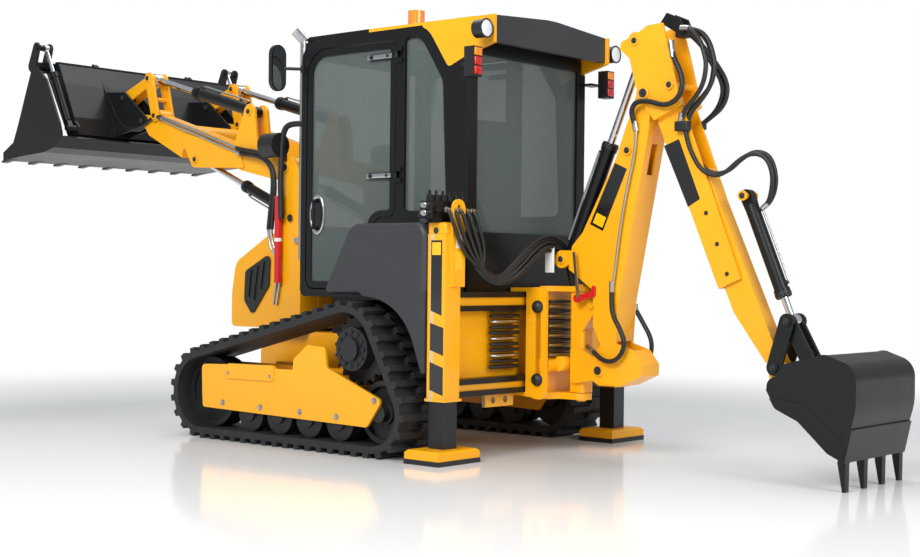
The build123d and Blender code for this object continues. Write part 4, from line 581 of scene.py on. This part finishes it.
# %% Ram pipes and ports
RAM_PIPES = (        # body, base pin, rod pin, barrel, radius, ys, side of the pipe
    ("boom_barrel", (-262, 786), (-500, 1563), 690, 42, (KING_Y,), 1),
    ("dipper_barrel", (-94, 1016), (-550, 2106), 640, 38, (KING_Y,), -1),
    ("bucket_barrel", (-1140, 1321), (-1386, 729), 515, 34, (KING_Y,), -1),
    ("lift_barrels", (1560, 1243), (2441, 1617), 515, 31, (-ARM_Y, ARM_Y), -1),
    ("tilt_barrels", (1945, 1878), (2899, 2146), 575, 36, (-ARM_Y, ARM_Y), 1),
)
FOOT_PORT, HEAD_PORT = 86, 56       # places of the ports, from the base pin and back from the barrel's end
for body, base, top, barrel, radius, ys, lean in RAM_PIPES:
    reach = math.dist(base, top)
    ux, uz = (top[0] - base[0]) / reach, (top[1] - base[1]) / reach
    ports = bmesh.new()
    for k, y in enumerate(ys):
        def along(s, off):
            return (base[0] + ux * s - uz * off * lean, y, base[1] + uz * s + ux * off * lean)
        out = (-uz * lean, 0, ux * lean)
        foot, head = FOOT_PORT, barrel - HEAD_PORT
        hose(f"{body}_pipe_{k}", [along(foot, radius - 4), along(foot, radius + 14),
                                  along(foot + 18, radius + 16), along(head - 20, radius + 16),
                                  along(head, radius + 14), along(head, radius - 4)], 11, body, zinc_steel)
        for s in (foot, head):
            turned(ports, ((11, -4), (11, 7), (9, 8), (9, 13), (6, 14), (0, 14)), along(s, radius), out, 6)
        turned(ports, ((radius + 6.5, -8), (radius + 6.5, 5), (radius + 4, 8), (radius + 4, 14)),
               along(barrel - 10, 0), (ux, 0, uz), 32)
    piece(body + "_ports", ports, abs_black, body)

# %% [markdown]
# ## Rear frame
# Wire-wound hoses lie in two stacks of flat loops: one between the rails, which feeds the stabilizers, and
# one on the carriage, which feeds the arm. Each stack rides on its own body. The bundle from the valve block
# to the carriage spans the two and stays where it is drawn, riding on neither.

# %% Hose stacks and the bundle to the arm
def flat_loop(name, middle, half_y, half_x, thick, body, material):
    x, y, z = middle
    route = [(x - half_x, y, z)]
    for turn in range(1, 16):
        a = math.tau * turn / 16
        swing = math.copysign(abs(math.sin(a)) ** 0.6, math.sin(a))
        route.append((x - half_x * math.cos(a), y + half_y * swing, z))
    hose(name, route + route[:1], thick, body, material)


for k in range(11):
    flat_loop(f"rail_stack_{k}", (84, 286, 460 + 29 * k), 112 - 6 * (k % 3), 19, 18 - 2 * (k % 2), "chassis",
              (hose_rubber, hose_rubber, zinc_steel)[k % 3])
for k in range(12):
    flat_loop(f"carriage_stack_{k}", (-60, -16, 520 + 25 * k), 122 - 5 * (k % 2), 24, 17 - 2 * (k % 2),
              "carriage", (wire_wound, hose_rubber)[k % 2])
VALVE_YS = [584 + 48 * k for k in range(5)]
for k, y in enumerate(VALVE_YS):
    hose(f"valve_hose_{k}", [(66, y, 1246), (36, y, 1240), (24, y - 8, 1180),
                             (30, y - 70 - 12 * k, 1060 - 12 * k), (30, 540 - 12 * k, 940),
                             (18, 440 - 6 * k, 892 + 5 * k), (2, 330, 930 + 14 * k),
                             (-20, 220, 1010 + 18 * k), (-36, 120, 1066 + 16 * k), (-48, 30, 1074 + 15 * k),
                             (-66, -40 - 8 * k, 1030 + 8 * k), (-86, -80 - 8 * k, 960),
                             (-100, -96 - 6 * k, 884)], 21, "chassis",
         blend=("chassis", "carriage", (30, 560, 1000), (-60, 60, 1000)))
for k in range(6):
    a = math.tau * k / 6
    dy, dz = 24 * math.cos(a), 24 * math.sin(a)
    hose(f"arm_bundle_{k}", [(70, 580 + 30 * k, 1222), (52, 575 + 28 * k, 1150),
                             (46 + dy / 3, 550 + 12 * k, 1000), (34, 490, 900 + dz / 3),
                             (10 + dy / 2, 380, 890 + dz / 2), (-10 + dy, 280, 960 + dz),
                             (-24 + dy, 190, 1040 + dz), (-34 + dy, 110, 1082 + dz),
                             (-46 + dy, 30, 1078 + dz), (-60 + dy, -20 - dy, 1030 + dz / 2),
                             (-80 + dy, -52 - dy, 960), (-90 + dy, -60 - dy, 880)], 19, "chassis",
         blend=("chassis", "carriage", (30, 480, 900), (-40, 60, 1000)))
ends, nuts = bmesh.new(), bmesh.new()
for z in (1230, 1268):
    turned(ends, ((15, 0), (15, 20), (12, 22), (12, 33), (9, 36), (0, 36)), (128, 848, z), (0, 1, 0), 24)
for y in VALVE_YS:
    turned(nuts, ((13, -6), (15, -5), (15, 8), (12, 10), (12, 22), (0, 22)), (64, y, 1246), (-1, 0, 0), 6)
piece("spool_ends", ends, zinc_steel, "chassis")
piece("valve_nuts", nuts, zinc_steel, "chassis")

# %% [markdown]
# The side columns wear a blank black label and two slanted black bars on the outer face, with blank tabs of
# yellow and white. They are films under 1 mm thick that lie just clear of the enamel. The block at each
# column's head stands on the CAD column, and a dark stud closes its outer face.

# %% Labels, bars and bolts of the columns
COL_SIDE = 784.5         # outer face of a column
TAB_X = (43.1, 42.5)     # film on the columns' rear face
film, yellow_film, white_film = bmesh.new(), bmesh.new(), bmesh.new()
LABEL = ((77, 728), (148, 752), (148, 1098), (77, 1098))
BARS = (((64, 532), (151, 558), (151, 691), (64, 669)), ((64, 336), (151, 361), (151, 499), (64, 473)))
for side in (-1, 1):
    for outline in (LABEL, *BARS):
        plate(film, outline, side * (COL_SIDE + 0.9), side * (COL_SIDE + 1.7))
    plate(yellow_film, ((84, 1026), (141, 1026), (141, 1088), (84, 1088)),
          side * (COL_SIDE + 1.8), side * (COL_SIDE + 2.4))
    plate(white_film, ((side * 678, 1060), (side * 718, 1060), (side * 718, 1128), (side * 678, 1128)),
          *TAB_X, "X")
    plate(yellow_film, ((side * 672, 952), (side * 726, 952), (side * 726, 1048), (side * 672, 1048)),
          *TAB_X, "X")
piece("column_film", film, film_black, "chassis")
piece("column_film_yellow", yellow_film, film_yellow, "chassis")
piece("column_film_white", white_film, film_white, "chassis")
heads = bmesh.new()
for side in (-1, 1):
    block(heads, (56, side * 670.5, 1129), (170, side * COL_SIDE, 1186), 6)
piece("column_heads", heads, enamel_yellow, "chassis")
studs = bmesh.new()
for side in (-1, 1):
    turned(studs, ((15, 0), (15, 4), (11, 8), (4, 10), (0, 10)), (117, side * COL_SIDE, 1146), (0, side, 0),
           24)
piece("column_studs", studs, cast_black, "chassis")
bolts = bmesh.new()
for side in (-1, 1):
    for y in (678, 778):
        for x in (62, 164):
            hex_bolt(bolts, (x, side * y, 318.5), (0, 0, 1), 12, 6)
    for x, z in ((1640, 206), (1330, 200), (1020, 196), (745, 190), (476, 290)):
        hex_bolt(bolts, (x, side * 838, z), (0, side, 0), 26, 12)
    for x, z in ((1250, 372), (1590, 372)):
        hex_bolt(bolts, (x, side * 846, z), (0, side, 0), 14, 6)
piece("frame_bolts", bolts, zinc_steel, "chassis")

# %% [markdown]
# Wear pads guide the sliding dipper. Each is held by one dark bolt that shows on the dipper's wall. Boom and
# dipper wear blank black labels, and the dipper's head has a bracket with the manifold that its hoses start
# from.

# %% Bolts, labels and head of the arm
bolts, film = bmesh.new(), bmesh.new()
for side in (-1, 1):
    for x, z in ((-950, 1241), (-1013, 1091), (-1069, 948)):
        hex_bolt(bolts, (x, KING_Y + side * 66, z), (0, side, 0), 17, 7)
    plate(film, ((-848, 1272), (-915, 1310), (-792, 1606), (-706, 1576)), KING_Y + side * 66.3,
          KING_Y + side * 67)
piece("wear_pad_bolts", bolts, cast_black, "dipper_outer")
piece("dipper_label", film, film_black, "dipper_outer")

film, small = bmesh.new(), bmesh.new()
for side in (-1, 1):
    near, far = KING_Y + side * 80.3, KING_Y + side * 81
    plate(film, ((-354, 1160), (-497, 1470), (-424, 1503), (-273, 1196)), near, far)
    plate(small, ((-350, 1176), (-374, 1228), (-316, 1254), (-292, 1203)), far + side * 0.1,
          far + side * 0.6)
piece("boom_label", film, film_black, "boom")
piece("boom_label_corner", small, film_yellow, "boom")

head = bmesh.new()
for y in (KING_Y - 44, KING_Y + 34):
    plate(head, ((-662, 2191), (-698, 2238), (-773, 2205), (-818, 2100), (-729, 2150)), y, y + 10)
piece("head_bracket", head, powder_black, "dipper_outer")
ports = bmesh.new()
block(ports, (-800, KING_Y - 34, 2112), (-742, KING_Y + 34, 2168), 5)
piece("head_manifold", ports, abs_black, "dipper_outer")

# %% [markdown]
# The doors have a bright oval ring round a dark latch dish, and two hinge leaves. Black caps close the
# carriage's slide bores and the two tanks.

# %% Latches, hinges and caps
LATCH_X, LATCH_Z = 1262, 1255
TALLER = Matrix.Diagonal((1.0, 1.0, 1.95, 1.0))      # makes the round ring and dish oval
for side, body in ((1, "door_left"), (-1, "door_right")):
    bm = bmesh.new()
    made = bmesh.ops.create_circle(bm, segments=10, radius=0.006)
    bmesh.ops.rotate(bm, cent=(0, 0, 0), matrix=Matrix.Rotation(math.pi / 2, 3, "X"), verts=made["verts"])
    bmesh.ops.translate(bm, vec=(0.052, 0, 0), verts=made["verts"])
    bmesh.ops.spin(bm, geom=bm.verts[:] + bm.edges[:], cent=(0, 0, 0), axis=(0, 0, 1), angle=math.tau,
                   steps=40, use_merge=True)
    ring_to = Matrix.Translation(place(LATCH_X, side * 494, LATCH_Z)) @ TALLER
    bmesh.ops.transform(bm, matrix=ring_to @ Matrix.Rotation(math.pi / 2, 4, "X"), verts=bm.verts)
    piece("latch_ring_" + body, bm, zinc_steel, body)
    dish = bmesh.new()
    bmesh.ops.create_circle(dish, cap_ends=True, segments=48, radius=0.05)
    bmesh.ops.inset_region(dish, faces=dish.faces[:], thickness=0.006, depth=-0.001)
    dish_to = Matrix.Translation(place(LATCH_X, side * 491.5, LATCH_Z)) @ TALLER
    bmesh.ops.transform(dish, matrix=dish_to @ Matrix.Rotation(-side * math.pi / 2, 4, "X"),
                        verts=dish.verts)
    piece("latch_dish_" + body, dish, abs_black, body)
    leaf, studs = bmesh.new(), bmesh.new()
    for z in (1453, 2088):
        block(leaf, (690, side * 508.2, z - 12), (868, side * 511.2, z + 12), 1.2)
        for x in (720, 846):
            turned(studs, ((9, 0), (9, 3), (6, 6), (0, 6)), (x, side * 511, z), (0, side, 0), 16)
    piece("hinge_leaves_" + body, leaf, stainless, body)
    piece("hinge_studs_" + body, studs, abs_black, body)
ends = bmesh.new()
for side in (-1, 1):
    for z in (392, 768):
        turned(ends, ((33, 0), (33, 7), (29, 16), (20, 23), (9, 27), (0, 28)), (-36, KING_Y + side * 200, z),
               (0, side, 0), 32)
piece("carriage_caps", ends, abs_black, "carriage")
cap = bmesh.new()
for side in (-1, 1):
    turned(cap, ((44, 0), (44, 12), (33, 15), (33, 30), (29, 34), (12, 35), (12, 42), (0, 42)),
           (245, side * 720, 1214), (0, 0, 1), 28)
piece("filler_caps", cap, abs_black, "chassis")

# %% [markdown]
# The kingpost carries a flat steel bar beside the boom and a blank white tag, and the carriage the yellow
# end cap of the slew ram. The hoses that show most end in a crimped steel ferrule.

# %% Small pieces round the kingpost
bar = bmesh.new()
plate(bar, ((-231, 818), (-215, 818), (-187, 1053), (-203, 1053)), 66, 72)
piece("lock_bar", bar, zinc_steel, "kingpost")
tag = bmesh.new()
block(tag, (-74, 76, 946), (-16, 78, 1076), 0.6)
piece("blank_tag", tag, film_white, "kingpost")
cap = bmesh.new()
turned(cap, ((40, -30), (40, 34), (36, 40), (24, 42), (0, 42)), (-92, KING_Y + 60, 472), (0, 1, 0), 32)
piece("slew_cap", cap, enamel_yellow, "carriage")
FERRULES = (        # two ends, thickness, body
    ((-315, 56, 544), (-258, 28, 568), 30, "kingpost"),
    ((-424, 56, 905), (-424, 57, 850), 28, "boom"),
    ((-430, -148, 790), (-433, -148, 735), 28, "boom"),
    ((-768, 72, 2084), (-788, 82, 2000), 30, "dipper_outer"),
    ((-796, 26, 2150), (-846, 33, 2143), 29, "dipper_outer"),
    ((-806, 42, 1684), (-820, 44, 1732), 29, "dipper_outer"),
    ((-1222, -36, 1262), (-1256, -30, 1284), 27, "dipper_inner"),
    ((-559, 56, 1655), (-552, 62, 1704), 30, "boom"),
    ((2040, 412, 1640), (2000, 416, 1632), 28, "loader_arms"),
    ((2762, 404, 1880), (2812, 396, 1896), 27, "loader_arms"),
)
for k, (a, b, thick, body) in enumerate(FERRULES):
    hose(f"ferrule_{k}", [a, b], thick, body, zinc_steel)

# %% [markdown]
# ## The room
# A pale floor that turns to plain white in the distance, one large soft lamp from the camera's left, a
# weaker one from the right, one overhead and an even pale sky. Rays that go straight to the camera or
# through glass see plain white, and on the floor those from a mirror do too.

# %% Floor and world
FLOOR_HALF = 40.0                   # metres
WHITE_FROM, WHITE_TO = 2.6, 6.5     # the floor turns white between these distances, in metres
floor_bm = bmesh.new()
bmesh.ops.create_grid(floor_bm, x_segments=2, y_segments=2, size=FLOOR_HALF)
mesh = bpy.data.meshes.new("floor")
floor_bm.to_mesh(mesh)
floor_bm.free()
floor = bpy.data.objects.new("floor", mesh)
bpy.context.scene.collection.objects.link(floor)
ground = bpy.data.materials.new("studio_floor")
ground.use_nodes = True
tree = ground.node_tree
tree.nodes.clear()
where = add(tree, "ShaderNodeTexCoord").outputs["Object"]
reach = add(tree, "ShaderNodeVectorMath", {0: where}, operation="LENGTH")
away = add(tree, "ShaderNodeMapRange",
           {"Value": reach.outputs["Value"], "From Min": WHITE_FROM, "From Max": WHITE_TO},
           interpolation_type="SMOOTHSTEP")
path = add(tree, "ShaderNodeLightPath")
seen = add(tree, "ShaderNodeMath", {0: path.outputs["Is Camera Ray"], 1: path.outputs["Is Glossy Ray"]},
           operation="MAXIMUM")
seen = add(tree, "ShaderNodeMath", {0: seen.outputs[0], 1: path.outputs["Is Transmission Ray"]},
           operation="MAXIMUM")
both = add(tree, "ShaderNodeMath", {0: away.outputs[0], 1: seen.outputs[0]}, operation="MULTIPLY")
matt = add(tree, "ShaderNodeBsdfPrincipled", {"Base Color": linear("#f4f4f3"), "Roughness": 0.11,
                                              "Specular IOR Level": 0.4})
white = add(tree, "ShaderNodeEmission", {"Color": (1, 1, 1, 1), "Strength": 1.0})
join = add(tree, "ShaderNodeMixShader", {0: both.outputs[0], 1: matt.outputs[0], 2: white.outputs[0]})
add(tree, "ShaderNodeOutputMaterial", {"Surface": join.outputs[0]})
mesh.materials.append(ground)

world = bpy.data.worlds.new("studio")
bpy.context.scene.world = world
world.use_nodes = True
tree = world.node_tree
tree.nodes.clear()
path = add(tree, "ShaderNodeLightPath")
seen = add(tree, "ShaderNodeMath",
           {0: path.outputs["Is Camera Ray"], 1: path.outputs["Is Transmission Ray"]}, operation="MAXIMUM")
sky = add(tree, "ShaderNodeBackground", {"Color": linear("#e6ebef"), "Strength": 0.55})
plain = add(tree, "ShaderNodeBackground", {"Color": (1, 1, 1, 1), "Strength": 1.0})
join = add(tree, "ShaderNodeMixShader", {0: seen.outputs[0], 1: sky.outputs[0], 2: plain.outputs[0]})
add(tree, "ShaderNodeOutputWorld", {"Surface": join.outputs[0]})


# %% Lamps of the studio
def softbox(name, at, towards, size, watts):
    lamp = bpy.data.lights.new(name, "AREA")
    lamp.shape = "RECTANGLE"
    lamp.size, lamp.size_y = size
    lamp.energy = watts
    obj = bpy.data.objects.new(name, lamp)
    obj.location = at
    obj.rotation_euler = (Vector(towards) - Vector(at)).to_track_quat("-Z", "Y").to_euler()
    bpy.context.scene.collection.objects.link(obj)


softbox("key", (-2.5, 7.0, 5.5), (0, 0, 1.0), (4.0, 3.0), 560)
softbox("fill", (-8.0, 1.5, 3.5), (-0.5, 0, 1.0), (3.0, 3.0), 220)
softbox("top", (1.0, -1.5, 7.0), (0, 0, 0.5), (6.0, 4.0), 260)

# %% [markdown]
# ## Camera
# The camera stands where the photographer stood, 0.94 m up at the rear left, and was worked out from known
# heights and widths. A lens of 58.3 mm on a 36 mm sensor gives the picture's width of 920 px.

# %% Camera
PICTURE_W, FOCAL_PX, SENSOR_MM = 920, 1490.5, 36.0
CAMERA_AT = (-4745.12, 6258.52, 940.0)      # mm on the drawing
RIGHT = Vector((-0.7582383, -0.65188858, 0.01076839))
UP = Vector((0.01070177, 0.00407001, 0.99993445))
AHEAD = Vector((0.65188968, -0.75830384, -0.00389033))
camera = bpy.data.cameras.new("camera")
camera.sensor_width = SENSOR_MM
camera.lens = SENSOR_MM * FOCAL_PX / PICTURE_W
shot = bpy.data.objects.new("camera", camera)
bpy.context.scene.collection.objects.link(shot)
turn = Matrix((RIGHT, UP, -AHEAD)).transposed().to_4x4()
shot.matrix_world = Matrix.Translation(place(*CAMERA_AT)) @ turn
bpy.context.scene.camera = shot
bpy.context.scene.view_settings.view_transform = "Standard"
